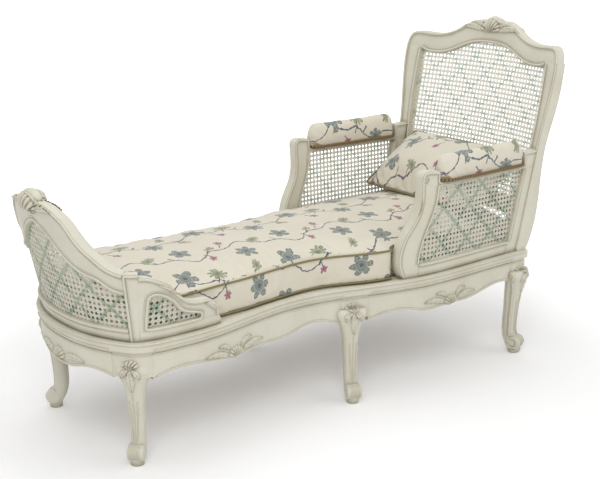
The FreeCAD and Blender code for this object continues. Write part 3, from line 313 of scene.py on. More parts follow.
TWIGS = [
    ((0.040, 0.070), (0.052, 0.100)), ((0.206, 0.062), (0.214, 0.040)), ((0.126, 0.060), (0.146, 0.094)),
    ((0.086, 0.054), (0.100, 0.032)), ((0.250, 0.080), (0.268, 0.094)), ((0.290, 0.060), (0.308, 0.034)),
    ((0.268, 0.196), (0.284, 0.172)), ((0.112, 0.214), (0.118, 0.236)), ((0.030, 0.206), (0.018, 0.230)),
    ((0.170, 0.200), (0.180, 0.170)), ((0.236, 0.222), (0.252, 0.254)), ((0.190, 0.206), (0.206, 0.230)),
    ((0.070, 0.220), (0.084, 0.196)), ((0.160, 0.058), (0.176, 0.074)),
]
MOTIF_GROWTH = 1.22
INKS = {"blue": (BLUE_LEAF, srgb(158, 170, 152)), "olive": (OLIVE_LEAF, srgb(176, 182, 140)),
        "magenta": (MAGENTA, srgb(190, 120, 140)), "seed": (SEED, srgb(196, 178, 134))}


def trailing_floral_group(blossom, twig):
    """A cream ground printed with a generic trailing floral, on a map in metres."""
    tree, g, entry, leave = group(
        "trailing_floral",
        {"Vector": (VECTOR, None), "Ground": (COLOUR, CLOTH)},
        {"Color": (COLOUR, None), "Ink": (FLOAT, None)},
    )
    place = entry.outputs["Vector"]
    crooked = g.put("ShaderNodeTexNoise", {"Vector": place, "Scale": 34.0, "Detail": 3.0, "Roughness": 0.7})
    centred = g.vector("SUBTRACT", crooked.outputs["Color"], (0.5, 0.5, 0.5))
    shift = g.vector("MULTIPLY", centred, (0.020, 0.020, 0.0))
    moved = g.vector("ADD", place, shift)
    parts = g.put("ShaderNodeSeparateXYZ", {0: moved})
    row = g.calc("FLOOR", g.calc("DIVIDE", parts.outputs[1], TILE[1]))
    slid = g.add(parts.outputs[0], g.mul(row, 0.37 * TILE[0]))
    x = g.calc("FLOORED_MODULO", slid, TILE[0])
    y = g.calc("FLOORED_MODULO", parts.outputs[1], TILE[1])
    tile = g.put("ShaderNodeCombineXYZ", {0: x, 1: y}).outputs[0]
    colour = entry.outputs["Ground"]
    ink = 0.0
    phase = g.mul(x, 2 * math.pi / TILE[0])
    for height, swing, second, start in STEMS:
        first = g.mul(g.calc("SINE", g.add(phase, start)), swing)
        other = g.mul(g.calc("SINE", g.mul(phase, 3.0)), second)
        line = g.add(g.add(first, other), height)
        off = g.calc("ABSOLUTE", g.calc("SUBTRACT", y, line))
        mask = g.ramp(off, 0.0027, 0.0018)
        colour = g.blend(mask, colour, TWIG)
        ink = g.calc("MAXIMUM", mask, ink)
    for start, end in TWIGS:
        made = g.grouped(twig, {"Vector": tile, "From": (*start, 0), "To": (*end, 0)})
        colour = g.blend(made["Mask"], colour, TWIG)
        ink = g.calc("MAXIMUM", made["Mask"], ink)
    for centre, radius, petals, turn, squeeze, name in BLOSSOMS:
        made = g.grouped(blossom, {
            "Vector": tile, "Centre": (*centre, 0), "Radius": radius * MOTIF_GROWTH,
            "Petals": float(petals), "Turn": turn, "Squeeze": squeeze,
        })
        dark, light = INKS[name]
        petal = g.blend(made["Shade"], light, dark)
        colour = g.blend(made["Mask"], colour, petal)
        ink = g.calc("MAXIMUM", made["Mask"], ink)
    g.feed(leave.inputs["Color"], colour)
    g.feed(leave.inputs["Ink"], ink)
    return tree


AGED_SHADED_PAINT = aged_shaded_paint_group()
WOVEN = weave_group()
FLORAL = trailing_floral_group(blossom_group(), twig_group())


def material(name):
    """A new material, its graph, its principled shader and its object coordinates."""
    made = bpy.data.materials.new(name)
    made.use_nodes = True
    graph = Graph(made.node_tree)
    shader = made.node_tree.nodes["Principled BSDF"]
    place = graph.put("ShaderNodeTexCoord")
    return made, graph, shader, place


def raised(g, shader, height, strength, distance):
    bump = g.put("ShaderNodeBump", {"Strength": strength, "Distance": distance, "Height": height})
    g.feed(shader.inputs["Normal"], bump.outputs[0])


def painted_wood():
    made, g, shader, place = material("antique_shaded_paint")
    # The paint group's colour holds painted shade in hollows and between parts, together with the glaze
    paint = g.put("ShaderNodeGroup", node_tree=AGED_SHADED_PAINT)
    g.feed(paint.inputs["Vector"], place.outputs["Object"])
    g.feed(shader.inputs["Base Color"], paint.outputs["Color"])
    g.feed(shader.inputs["Roughness"], paint.outputs["Roughness"])
    raised(g, shader, paint.outputs["Height"], 0.35, 0.0006)
    return made


LATTICE = 0.104


def painted_cane():
    """Cream cane with a soft green lattice and small pink sprigs, on a map in metres."""
    made, g, shader, place = material("painted_cane")
    spot = place.outputs["UV"]
    wander = g.noise(spot, 16.0, 2.0, out=1)
    shift = g.vector("MULTIPLY", g.vector("SUBTRACT", wander, (0.5, 0.5, 0.5)), (0.014, 0.014, 0.0))
    moved = g.vector("ADD", spot, shift)
    parts = g.put("ShaderNodeSeparateXYZ", {0: moved})
    lines, phases = [], []
    for operation in ("ADD", "SUBTRACT"):
        slant = g.calc(operation, parts.outputs[0], parts.outputs[1])
        phase = g.calc("PINGPONG", slant, LATTICE / 2)
        phases.append(phase)
        lines.append(g.ramp(phase, 0.0105, 0.003))
    lattice = g.calc("MAXIMUM", lines[0], lines[1])
    centre = g.mul(*phases)
    sprig = g.ramp(centre, 0.00205, 0.00250)
    patch = g.noise(spot, 60.0, 3.0, 0.7)
    colour = g.blend(g.ramp(g.noise(spot, 12.0, 3.0), 0.35, 0.7, 0.0, 0.4), PAINT, srgb(232, 230, 219))
    green = g.mul(lattice, g.ramp(patch, 0.30, 0.60, 0.25, 0.95))
    colour = g.blend(green, colour, CANE_GREEN)
    colour = g.blend(g.mul(sprig, g.ramp(patch, 0.42, 0.58, 0.0, 0.6)), colour, CANE_PINK)
    g.feed(shader.inputs["Base Color"], colour)
    g.feed(shader.inputs["Roughness"], g.ramp(patch, 0.3, 0.7, 0.45, 0.6))
    raised(g, shader, g.noise(place.outputs["Object"], 900.0, 2.0), 0.2, 0.0003)
    return made


def floral_cloth():
    made, g, shader, place = material("floral_cloth")
    spot = place.outputs["UV"]
    floral = g.put("ShaderNodeGroup", node_tree=FLORAL)
    woven = g.put("ShaderNodeGroup", node_tree=WOVEN)
    g.feed(floral.inputs["Vector"], spot)
    g.feed(woven.inputs["Vector"], spot)
    slub = g.ramp(woven.outputs["Slub"], 0.35, 0.65, 0.0, 1.0)
    faded = g.blend(g.mul(slub, 0.16), floral.outputs["Color"], srgb(238, 231, 214))
    soiled = g.blend(g.ramp(woven.outputs["Soil"], 0.45, 0.75, 0.0, 0.14), faded, srgb(186, 172, 140))
    g.feed(shader.inputs["Base Color"], soiled)
    shader.inputs["Roughness"].default_value = 0.88
    shader.inputs["Sheen Weight"].default_value = 0.25
    shader.inputs["Sheen Roughness"].default_value = 0.6
    threads = g.add(woven.outputs["Threads"], g.mul(slub, 1.2))
    stitched = g.add(threads, g.mul(floral.outputs["Ink"], 1.4))
    raised(g, shader, stitched, 0.55, 0.0005)
    return made


def plain_cloth(name, colour, second, pitch):
    made, g, shader, place = material(name)
    woven = g.put("ShaderNodeGroup", node_tree=WOVEN)
    g.feed(woven.inputs["Vector"], place.outputs["Object"])
    woven.inputs["Pitch"].default_value = pitch
    share = g.mul(g.add(woven.outputs["Threads"], woven.outputs["Slub"]), 0.5)
    g.feed(shader.inputs["Base Color"], g.blend(share, colour, second))
    shader.inputs["Roughness"].default_value = 0.9
    raised(g, shader, share, 0.6, 0.0008)
    return made


def bare_wood():
    made, g, shader, place = material("bare_wood")
    along = g.vector("MULTIPLY", place.outputs["Object"], (6.0, 60.0, 60.0))
    grain = g.noise(along, 3.0, 5.0, 0.65)
    colour = g.blend(g.ramp(grain, 0.35, 0.65), srgb(176, 138, 96), srgb(128, 92, 58))
    g.feed(shader.inputs["Base Color"], colour)
    shader.inputs["Roughness"].default_value = 0.7
    raised(g, shader, grain, 0.3, 0.0005)
    return made


def screw_steel():
    made, g, shader, place = material("screw_steel")
    stain = g.noise(place.outputs["Object"], 300.0, 3.0)
    colour = g.blend(g.ramp(stain, 0.4, 0.7), srgb(150, 146, 138), srgb(100, 84, 66))
    g.feed(shader.inputs["Base Color"], colour)
    g.feed(shader.inputs["Roughness"], g.ramp(stain, 0.3, 0.7, 0.3, 0.6))
    shader.inputs["Metallic"].default_value = 1.0
    return made


PAINTED = painted_wood()
CANE = painted_cane()
FLORAL_CLOTH = floral_cloth()
PIPING_CLOTH = plain_cloth("piping_cloth", PIPING, srgb(118, 108, 74), 0.0014)
BRAID = plain_cloth("braid_dark", BRAID_DARK, srgb(112, 90, 58), 0.0012)
BRAID_PALE = plain_cloth("braid_pale", BRAID_LIGHT, srgb(176, 150, 104), 0.0012)
WEBBING = plain_cloth("jute_webbing", srgb(150, 126, 90), srgb(112, 90, 60), 0.003)
DECK = plain_cloth("deck_linen", srgb(212, 204, 184), srgb(186, 176, 152), 0.0016)
BARE = bare_wood()
STEEL = screw_steel()


# Meshes

def new_piece(name, mesh, body, slot, *materials):
    """An object at the origin that rides on a body and takes the given materials; the slot is not used."""
    for item in materials:
        mesh.materials.append(item)
    piece = bpy.data.objects.new(name, mesh)
    bpy.context.scene.collection.objects.link(piece)
    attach(piece, body)
    return piece


def mesh_of(bm, name, smooth=True):
    mesh = bpy.data.meshes.new(name)
    bm.to_mesh(mesh)
    bm.free()
    if smooth:
        mesh.polygons.foreach_set("use_smooth", [True] * len(mesh.polygons))
    return mesh


def tree_of(*names):
    """One search tree over the solids of several nodes."""
    points, faces = [], []
    for name in names:
        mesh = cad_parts[name].data
        start = len(points)
        points += [v.co.copy() for v in mesh.vertices]
        faces += [[start + i for i in polygon.vertices] for polygon in mesh.polygons]
    return BVHTree.FromPolygons(points, faces)


def merged_copy(node):
    bm = bmesh.new()
    bm.from_mesh(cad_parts[node].data)
    bmesh.ops.remove_doubles(bm, verts=bm.verts, dist=2e-5)
    bmesh.ops.dissolve_degenerate(bm, edges=bm.edges, dist=1e-5)
    return bm


def tube_mesh(paths, radius, name="tube", sides=2):
    """Round cords along lists of points; a path is (points, closed)."""
    curve = bpy.data.curves.new(name, "CURVE")
    curve.dimensions = "3D"
    curve.bevel_depth = radius
    curve.bevel_resolution = sides
    curve.use_fill_caps = True
    for points, closed in paths:
        line = curve.splines.new("POLY")
        line.points.add(len(points) - 1)
        for slot_point, point in zip(line.points, points):
            slot_point.co = (*point, 1.0)
        line.use_cyclic_u = closed
    holder = bpy.data.objects.new(name, curve)
    bpy.context.scene.collection.objects.link(holder)
    graph = bpy.context.evaluated_depsgraph_get()
    mesh = bpy.data.meshes.new_from_object(holder.evaluated_get(graph))
    bpy.data.objects.remove(holder)
    bpy.data.curves.remove(curve)
    return mesh


def resampled(points, closed, step):
    """The same line with points an even step apart."""
    line = [Vector(p) for p in points]
    if closed:
        line.append(line[0])
    lengths = [0.0]
    for a, b in zip(line, line[1:]):
        lengths.append(lengths[-1] + (b - a).length)
    total = lengths[-1]
    count = max(2, round(total / step))
    out, index = [], 0
    for i in range(count if closed else count + 1):
        want = total * i / count
        while index < len(lengths) - 2 and lengths[index + 1] < want:
            index += 1
        span = lengths[index + 1] - lengths[index]
        share = (want - lengths[index]) / span if span > 0 else 0.0
        out.append(line[index].lerp(line[index + 1], min(1.0, share)))
    return out


def smoothed(points, closed, rounds):
    for _ in range(rounds):
        last = len(points) - 1
        fresh = []
        for i, point in enumerate(points):
            if not closed and i in (0, last):
                fresh.append(point)
            else:
                fresh.append((points[i - 1] + point * 2 + points[(i + 1) % len(points)]) / 4)
        points = fresh
    return points


def face_runs(bm, facing, neighbours, limit=0.7):
    """Lines round the faces that look one way, without the seams to neighbouring pieces.

    Each is a list of (point, direction into the face) and whether it closes."""
    chosen = set()
    for face in bm.faces:
        if face.normal.dot(facing(face.calc_center_median())) > limit:
            chosen.add(face)
    links = {}
    for edge in bm.edges:
        inner = [f for f in edge.link_faces if f in chosen]
        if len(inner) != 1 or len(edge.link_faces) != 2:
            continue
        a, b = edge.verts
        middle = (a.co + b.co) / 2
        if neighbours and neighbours.find_nearest(middle, SEAM_REACH)[0] is not None:
            continue
        along = (b.co - a.co).normalized()
        into = inner[0].calc_center_median() - middle
        into -= along * into.dot(along)
        into -= inner[0].normal * into.dot(inner[0].normal)
        if into.length < 1e-9:
            continue
        for one, other in ((a, b), (b, a)):
            links.setdefault(one, []).append((other, edge, into.normalized()))
    runs, used = [], set()
    starts = [v for v in links if len(links[v]) != 2] + list(links)
    for start in starts:
        for other, edge, into in links[start]:
            if edge in used:
                continue
            line = [(start, into)]
            used.add(edge)
            line.append((other, into))
            spot = other
            while len(links[spot]) == 2:
                onward = [item for item in links[spot] if item[1] not in used]
                if not onward:
                    break
                spot, edge, into = onward[0]
                used.add(edge)
                line.append((spot, into))
            closed = spot is start
            found = []
            for i, (vert, into) in enumerate(line):
                later = line[min(i + 1, len(line) - 1)][1]
                found.append((vert.co.copy(), (into + later).normalized()))
            if closed:
                found.pop()
            runs.append((found, closed))
    return runs


def offset_line(run, closed, inward, surface):
    """A smooth line a little way in from a run, lying on the surface."""
    points = [point + into * inward for point, into in run]
    points = resampled(points, closed, BEAD_STEP)
    points = smoothed(points, closed, 3)
    lying = []
    for point in points:
        near = surface.find_nearest(point)
        lying.append(near[0] if near[0] is not None else point)
    return lying


def run_length(run):
    return sum((b[0] - a[0]).length for a, b in zip(run, run[1:]))


def beads_of(bm, surface, facings, neighbours, beads):
    """Carved beads that follow the edges of the faces that look certain ways."""
    meshes = []
    for facing in facings:
        runs = [r for r in face_runs(bm, facing, neighbours) if run_length(r[0]) > SHORTEST_RUN]
        for inward, radius in beads:
            paths = [(offset_line(run, closed, inward, surface), closed) for run, closed in runs]
            if paths:
                meshes.append(tube_mesh(paths, radius, sides=1))
    return meshes


def from_middle(point):
    """The outward direction from the seat's middle line, in plan."""
    spine = Vector((min(0.6, max(-0.56, point.x)), 0, point.z))
    out = point - spine
    return out.normalized() if out.length > 1e-6 else Vector((-1, 0, 0))


def to_foot(point):
    return Vector((-1, 0, 0.05)).normalized()


def to_rear(point):
    return Vector((1, 0, 0))


def to_middle(point):
    return -from_middle(point)


def rounded(bm, width=EDGE_ROUND, segments=2):
    sharp = [e for e in bm.edges if len(e.link_faces) == 2 and e.calc_face_angle(0) > SHARP_ANGLE]
    bmesh.ops.bevel(bm, geom=sharp, offset=width, offset_type="OFFSET", segments=segments, profile=0.5,
                    affect="EDGES", clamp_overlap=True, material=-1, loop_slide=False)


def wood_member(node, facings=(), neighbours=(), beads=(EDGE_BEAD, LINE_BEAD), edge=EDGE_ROUND):
    """A carved member round its solid: eased edges, and beads that follow its faces."""
    bm = merged_copy(node)
    surface = tree_of(node)
    others = tree_of(*neighbours) if neighbours else None
    extra = beads_of(bm, surface, facings, others, beads) if facings else []
    rounded(bm, edge)
    for mesh in extra:
        bm.from_mesh(mesh)
        bpy.data.meshes.remove(mesh)
    mesh = mesh_of(bm, node + "_carved")
    mesh.set_sharp_from_angle(angle=math.radians(50))
    piece = new_piece(node + "_carved", mesh, "frame", "painted_wood", PAINTED)
    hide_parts(node)
    return piece


# Floor, light and camera

def seen_straight(g):
    """1 for rays that the camera, a gloss or a clear piece sends, and 0 for the light's own."""
    path = g.put("ShaderNodeLightPath")
    clear = g.calc("MAXIMUM", path.outputs["Is Glossy Ray"], path.outputs["Is Transmission Ray"])
    return g.calc("MAXIMUM", path.outputs["Is Camera Ray"], clear)


def studio():
    scene = bpy.context.scene
    scene.view_settings.view_transform = "Standard"
    camera_data = bpy.data.cameras.new("camera")
    camera_data.lens = CAMERA_LENS
    camera_data.sensor_width = 36.0
    camera = bpy.data.objects.new("camera", camera_data)
    camera.location = CAMERA_PLACE
    camera.rotation_euler = (math.radians(CAMERA_TILT), 0, math.radians(CAMERA_TURN))
    scene.collection.objects.link(camera)
    scene.camera = camera

    bm = bmesh.new()
    bmesh.ops.create_grid(bm, x_segments=1, y_segments=1, size=30.0)
    floor = bpy.data.objects.new("floor", mesh_of(bm, "floor", smooth=False))
    scene.collection.objects.link(floor)
    made, g, shader, place = material("pale_floor")
    shader.inputs["Roughness"].default_value = 0.9
    shader.inputs["Specular IOR Level"].default_value = 0.1
    grain = g.noise(place.outputs["Object"], 3.0, 2.0)
    g.feed(shader.inputs["Base Color"], g.blend(grain, (0.90, 0.90, 0.90, 1), (0.93, 0.93, 0.93, 1)))
    seen = seen_straight(g)
    reach = g.vector("LENGTH", place.outputs["Object"], out="Value")
    far = g.ramp(reach, 0.9, 3.2, 0.16, 1.0)
    g.feed(shader.inputs["Emission Strength"], g.mul(seen, far))
    shader.inputs["Emission Color"].default_value = (1, 1, 1, 1)
    floor.data.materials.append(made)

    world = bpy.data.worlds.new("studio")
    world.use_nodes = True
    scene.world = world
    g = Graph(world.node_tree)
    shade = world.node_tree.nodes["Background"]
    seen = seen_straight(g)
    g.feed(shade.inputs["Strength"], g.ramp(seen, 0.0, 1.0, 0.55, 1.0))
    shade.inputs["Color"].default_value = (1, 1, 1, 1)

    for name, place, size, power in (
        ("key", (-2.2, -2.6, 3.2), 2.4, 62.0),
        ("fill", (2.6, -2.4, 2.6), 3.0, 20.0),
        ("top", (0.2, 0.8, 3.6), 3.0, 30.0),
    ):
        lamp_data = bpy.data.lights.new(name, "AREA")
        lamp_data.size = size
        lamp_data.energy = power
        lamp = bpy.data.objects.new(name, lamp_data)
        lamp.location = place
        aim = Vector((0, 0, 0.4)) - Vector(place)
        lamp.rotation_euler = aim.to_track_quat("-Z", "Y").to_euler()
        scene.collection.objects.link(lamp)


studio()


# Carved frame of painted wood

RAILS = ["foot_rail", "rear_rail", "side_rail_foot_left", "side_rail_foot_right",
         "side_rail_head_left", "side_rail_head_right"]
LEGS = ["foot_leg_left", "foot_leg_right", "mid_leg_left", "mid_leg_right"]
FOOT_WALL = ["footboard_crest_rail", "footboard_sill", "footboard_post_left", "footboard_post_right",
             "wing_rail_left", "wing_rail_right", "wing_sill_left", "wing_sill_right"]
BACK_WALL = ["back_crest_rail", "back_lower_rail", "rear_post_left", "rear_post_right"]


def others(names, node):
    return [name for name in names if name != node]


def carved_frame():
    seat = RAILS + LEGS + ["rear_post_left", "rear_post_right"]
    for node in RAILS:
        wood_member(node, [from_middle], others(seat, node) + FOOT_WALL, RAIL_BEADS)
    for node in LEGS:
        wood_member(node, edge=0.0016)
    for node in FOOT_WALL:
        wood_member(node, [from_middle, to_middle], others(FOOT_WALL, node) + seat)
    for node in BACK_WALL:
        wood_member(node, [to_foot, to_rear], others(BACK_WALL, node) + RAILS)
    for side in SIDES:
        arm = [f"arm_{part}_{side}" for part in ("support", "rail", "sill", "upright")]
        nearby = arm + RAILS + [f"rear_post_{side}", f"mid_leg_{side}"]
        for node in arm:
            wood_member(node, [from_middle, to_middle], others(nearby, node), ARM_BEADS)


carved_frame()


def carried_over():
    """Solids whose shape is right take only a finish."""
    finishes = {"middle_cross_rail": BARE, "corner_blocks": BARE, "tenon_pegs": PAINTED,
                "corner_block_screws": STEEL, "seat_webbing": WEBBING, "deck_cloth": DECK}
    for node, finish in finishes.items():
        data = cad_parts[node].data
        data.materials.clear()
        data.materials.append(finish)


carried_over()


# Woven cane

def strand(bm, start, end, heights, wide):
    """One flat strand between two points of the weave's plane, with a height at each step."""
    reach = Vector(end) - Vector(start)
    aside = Vector((-reach.y, reach.x)).normalized() * (wide / 2)
    rings = []
    for i, height in enumerate(heights):
        spot = Vector(start) + reach * (i / (len(heights) - 1))
        half = STRAND_THICK / 2
        corners = ((aside, -half), (aside, half), (-aside, half), (-aside, -half))
        rings.append([bm.verts.new((*(spot + off), height + lift)) for off, lift in corners])
    for one, other in zip(rings, rings[1:]):
        for i in range(4):
            bm.faces.new((one[i], one[(i + 1) % 4], other[(i + 1) % 4], other[i]))
    bm.faces.new(rings[0])
    bm.faces.new(rings[-1][::-1])


def cane_tile():
    """One repeat of the weave: a crossing of two pairs, and four slanting strands."""
    bm = bmesh.new()
    half = CANE_PITCH / 2
    wave = STRAND_WAVE
    for side in (-1, 1):
        offset = side * PAIR_GAP / 2
        strand(bm, (offset, -half), (offset, half), [0, side * wave, 0], STRAND_WIDE)
        strand(bm, (-half, offset), (half, offset), [0, -side * wave, 0], STRAND_WIDE)
    high = 2.2 * wave
    strand(bm, (-half, 0), (0, half), [high, 0, -high], STRAND_WIDE * 0.9)
    strand(bm, (0, -half), (half, 0), [-high, 0, high], STRAND_WIDE * 0.9)
    strand(bm, (0, half), (half, 0), [high, 0, -high], STRAND_WIDE * 0.9)
    strand(bm, (-half, 0), (0, -half), [-high, 0, high], STRAND_WIDE * 0.9)
    return bm


def cane_panel(node, spots, low, high):
    """Woven cane laid over its sheet. spots(s) gives the place in plan and the way in."""
    tree = tree_of(node)
    tile = cane_tile()
    tile_mesh = mesh_of(tile, "cane_tile", smooth=False)
    (s_low, z_low), (s_high, z_high) = low, high
    across = math.ceil((s_high - s_low) / CANE_PITCH) + 1
    up = math.ceil((z_high - z_low) / CANE_PITCH) + 1
    holder = bpy.data.objects.new("weave", tile_mesh)
    bpy.context.scene.collection.objects.link(holder)
    for count, axis in ((across, 0), (up, 1)):
        array = holder.modifiers.new("repeat", "ARRAY")
        array.use_relative_offset = False
        array.use_constant_offset = True
        array.constant_offset_displace = [CANE_PITCH if i == axis else 0.0 for i in range(3)]
        array.count = count
    graph = bpy.context.evaluated_depsgraph_get()
    mesh = bpy.data.meshes.new_from_object(holder.evaluated_get(graph))
    bpy.data.objects.remove(holder)
    bm = bmesh.new()
    bm.from_mesh(mesh)
    bpy.data.meshes.remove(mesh)
    flat = {}
    gone = []
    shift_s = (s_low + s_high) / 2 - (across - 1) * CANE_PITCH / 2
    shift_z = (z_low + z_high) / 2 - (up - 1) * CANE_PITCH / 2
    found = {}
    for vert in bm.verts:
        s, z = vert.co.x + shift_s, vert.co.y + shift_z
        key = (round(s, 5), round(z, 5))
        if key not in found:
            base, way = spots(s)
            hit = tree.ray_cast(Vector((base.x, base.y, z)), way)
            found[key] = hit[:2] if hit[0] is not None else None
        if found[key] is None:
            gone.append(vert)
            continue
        point, normal = found[key]
        flat[vert] = (s, z)
        vert.co = point + normal * (vert.co.z - STRAND_THICK)
    layer = bm.loops.layers.uv.new("map")
    for face in bm.faces:
        for loop in face.loops:
            if loop.vert in flat:
                loop[layer].uv = flat[loop.vert]
    bmesh.ops.delete(bm, geom=gone, context="VERTS")
    loose = [v for v in bm.verts if not v.link_faces]
    bmesh.ops.delete(bm, geom=loose, context="VERTS")
    bmesh.ops.recalc_face_normals(bm, faces=bm.faces)
    mesh = mesh_of(bm, node + "_woven", smooth=False)
    piece = new_piece(node + "_woven", mesh, "frame", "painted_cane", CANE)
    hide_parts(node)
    return piece


def unrolled(tree, z):
    """The plan of the foot end's sheet as length from its middle to place and way in."""
    line = []
    steps = 160
    for i in range(-steps, steps + 1):
        angle = math.radians(88) * i / steps
        way = Vector((math.cos(angle), math.sin(angle), 0))
        start = Vector((-0.56, 0, z)) - way * 0.6
        hit = tree.ray_cast(start, way)
        if hit[0] is not None:
            line.append(hit[0])
    lengths = [0.0]
    for a, b in zip(line, line[1:]):
        lengths.append(lengths[-1] + (b - a).length)
    middle = lengths[-1] / 2

    def spots(s):
        want = s + middle
        index = min(max(0, int(np.searchsorted(lengths, want)) - 1), len(line) - 2)
        span = lengths[index + 1] - lengths[index]
        share = (want - lengths[index]) / span
        point = line[index].lerp(line[index + 1], share)
        along = (line[index + 1] - line[index]).normalized()
        way = Vector((-along.y, along.x, 0))
        if way.dot(Vector((-0.56, 0, z)) - point) < 0:
            way = -way
        return point - way * 0.15, way

    return spots, lengths[-1] / 2


def from_beside(out):
    """Spots along the length, looked at square on from one side."""
    return lambda s: (out * 0.5 + Vector((s, 0, 0)), -out)


def from_the_seat(s):
    """Spots across the width, looked at from the seat towards the back."""
    return Vector((0.3, s, 0)), Vector((1, 0, 0))


def cane_work():
    for side in SIDES:
        out = OUT_OF[side]
        for node in (f"arm_cane_{side}", f"wing_cane_{side}"):
            low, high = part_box(node)
            cane_panel(node, from_beside(out), (low.x, low.z), (high.x, high.z))
    low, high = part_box("back_cane")
    cane_panel("back_cane", from_the_seat, (low.y, low.z), (high.y, high.z))
    low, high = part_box("footboard_cane")
    spots, half = unrolled(tree_of("footboard_cane"), FOOT_CANE_MIDDLE_Z)
    cane_panel("footboard_cane", spots, (-half - 0.02, low.z), (half + 0.02, high.z))


cane_work()


# Stuffed pieces

PILLOW_SLOPE = math.radians(34)
ALONG_PILLOW = Vector((math.cos(PILLOW_SLOPE), 0, math.sin(PILLOW_SLOPE)))
PILLOW_UP = Vector((-math.sin(PILLOW_SLOPE), 0, math.cos(PILLOW_SLOPE)))


def slice_line(node, point, normal):
    """The longest closed line where a plane cuts a node's solid."""
    bm = merged_copy(node)
    bmesh.ops.bisect_plane(bm, geom=bm.verts[:] + bm.edges[:] + bm.faces[:], plane_co=point, plane_no=normal,
                           clear_inner=True, clear_outer=True)
    left = dict.fromkeys(bm.edges)
    lines = []
    while left:
        edge = next(iter(left))
        del left[edge]
        first, spot = edge.verts
        line = [first, spot]
        while True:
            onward = [e for e in spot.link_edges if e in left]
            if not onward:
                break
            del left[onward[0]]
            spot = onward[0].other_vert(spot)
            if spot is first:
                break
            line.append(spot)
        lines.append([v.co.copy() for v in line])
    bm.free()
    return max(lines, key=lambda points: sum((b - a).length for a, b in zip(points, points[1:])))


def evaluated(piece):
    graph = bpy.context.evaluated_depsgraph_get()
    return bpy.data.meshes.new_from_object(piece.evaluated_get(graph))


def swollen(holder, sewn, pressure, growth):
    """The holder's points after its cover has been blown up and has puckered at what is sewn."""
    pins = holder.vertex_groups.new(name="sewn")
    for index, weight in sewn:
        pins.add([index], weight, "REPLACE")
    cloth = holder.modifiers.new("cover", "CLOTH")
    settings = cloth.settings
    settings.quality = 4
    settings.mass = 0.3
    settings.tension_stiffness = 12
    settings.compression_stiffness = 12
    settings.shear_stiffness = 4
    settings.bending_stiffness = 0.35
    settings.use_pressure = True
    settings.uniform_pressure_force = pressure
    settings.shrink_min = -growth
    settings.vertex_group_mass = "sewn"
    settings.pin_stiffness = 1.0
    settings.effector_weights.gravity = 0
    cloth.point_cache.frame_start = 1
    cloth.point_cache.frame_end = 20
    for step in range(1, 21):
        bpy.context.scene.frame_set(step)
    mesh = evaluated(holder)
    found = [v.co.copy() for v in mesh.vertices]
    bpy.data.meshes.remove(mesh)
    holder.modifiers.remove(cloth)
    bpy.context.scene.frame_set(1)
    return found


def stuffed(node, body, voxel, seams, reaches, pressure, growth, up, mapped):
    """A stuffed piece inside its solid: its cover swells between the seams."""
    bm = merged_copy(node)
    bm.normal_update()
    for vert in bm.verts:
        vert.co -= vert.normal * 0.0015
    holder = bpy.data.objects.new(node + "_cover", mesh_of(bm, node + "_start"))
    bpy.context.scene.collection.objects.link(holder)
    remesh = holder.modifiers.new("even", "REMESH")
    remesh.mode = "VOXEL"
    remesh.voxel_size = voxel
    remesh.use_smooth_shade = True
    mesh = evaluated(holder)
    holder.modifiers.remove(remesh)
    holder.data = mesh
    flat_reach, tall_reach = reaches
    start = [v.co.copy() for v in mesh.vertices]
    line = [Vector(p) for seam in seams for p in seam]
    near = KDTree(len(line))
    for i, point in enumerate(line):
        near.insert(point, i)
    near.balance()
    sewn = []
    for i, point in enumerate(start):
        far = near.find(point)[2]
        if far < voxel * 1.3:
            sewn.append((i, 1.0))
    moved = swollen(holder, sewn, pressure, growth)
    for vert, old, new in zip(mesh.vertices, start, moved):
        step = new - old
        tall = up * max(-tall_reach, min(tall_reach, step.dot(up)))
        flat = step - up * step.dot(up)
        if flat.length > flat_reach:
            flat *= flat_reach / flat.length
        vert.co = old + tall + flat
    finer = holder.modifiers.new("finer", "SUBSURF")
    finer.levels = finer.render_levels = 1
    done = evaluated(holder)
    bpy.data.objects.remove(holder)
    done.name = node + "_stuffed"
    done.polygons.foreach_set("use_smooth", [True] * len(done.polygons))
    layer = done.uv_layers.new(name="map")
    for polygon in done.polygons:
        for loop in polygon.loop_indices:
            vert = done.vertices[done.loops[loop].vertex_index]
            layer.data[loop].uv = mapped(vert.co, polygon.normal)
    done.materials.clear()
    piece = new_piece(node + "_stuffed", done, body, "floral_fabric", FLORAL_CLOTH)
    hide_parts(node)
    return piece


def piping(name, lines, radius, body):
    mesh = tube_mesh([(line, True) for line in lines], radius, name, sides=2)
    mesh.polygons.foreach_set("use_smooth", [True] * len(mesh.polygons))
    mesh.materials.clear()
    return new_piece(name, mesh, body, "floral_fabric", PIPING_CLOTH)


def cushion_map(point, normal):
    if abs(normal.z) > 0.55:
        return point.x, point.y
    if abs(normal.y) > abs(normal.x):
        return point.x + 0.11, point.z + 0.07
    return point.y + 0.04, point.z + 0.02


def pillow_map(point, normal):
    return point.y + 0.06, point.dot(ALONG_PILLOW) + (0.08 if normal.dot(PILLOW_UP) > 0 else 0.2)


def even_line(node, point, normal, step):
    """A smooth closed line round a solid where a plane cuts it."""
    return smoothed(resampled(slice_line(node, point, normal), True, step), True, 3)


CUSHION_SEAM_TOP = 0.4185
CUSHION_SEAM_FOOT = 0.3375


def seat_cushion():
    up = Vector((0, 0, 1))
    top = even_line("seat_cushion", Vector((0, 0, CUSHION_SEAM_TOP)), up, 0.006)
    foot = even_line("seat_cushion", Vector((0, 0, CUSHION_SEAM_FOOT)), up, 0.006)
    reaches = (0.002, 0.010)
    stuffed("seat_cushion", "cushion", CUSHION_VOXEL, (top, foot), reaches, 3.0, 0.025, up, cushion_map)
    piping("seat_cushion_piping", (top, foot), PIPING_RADIUS * 0.82, "cushion")


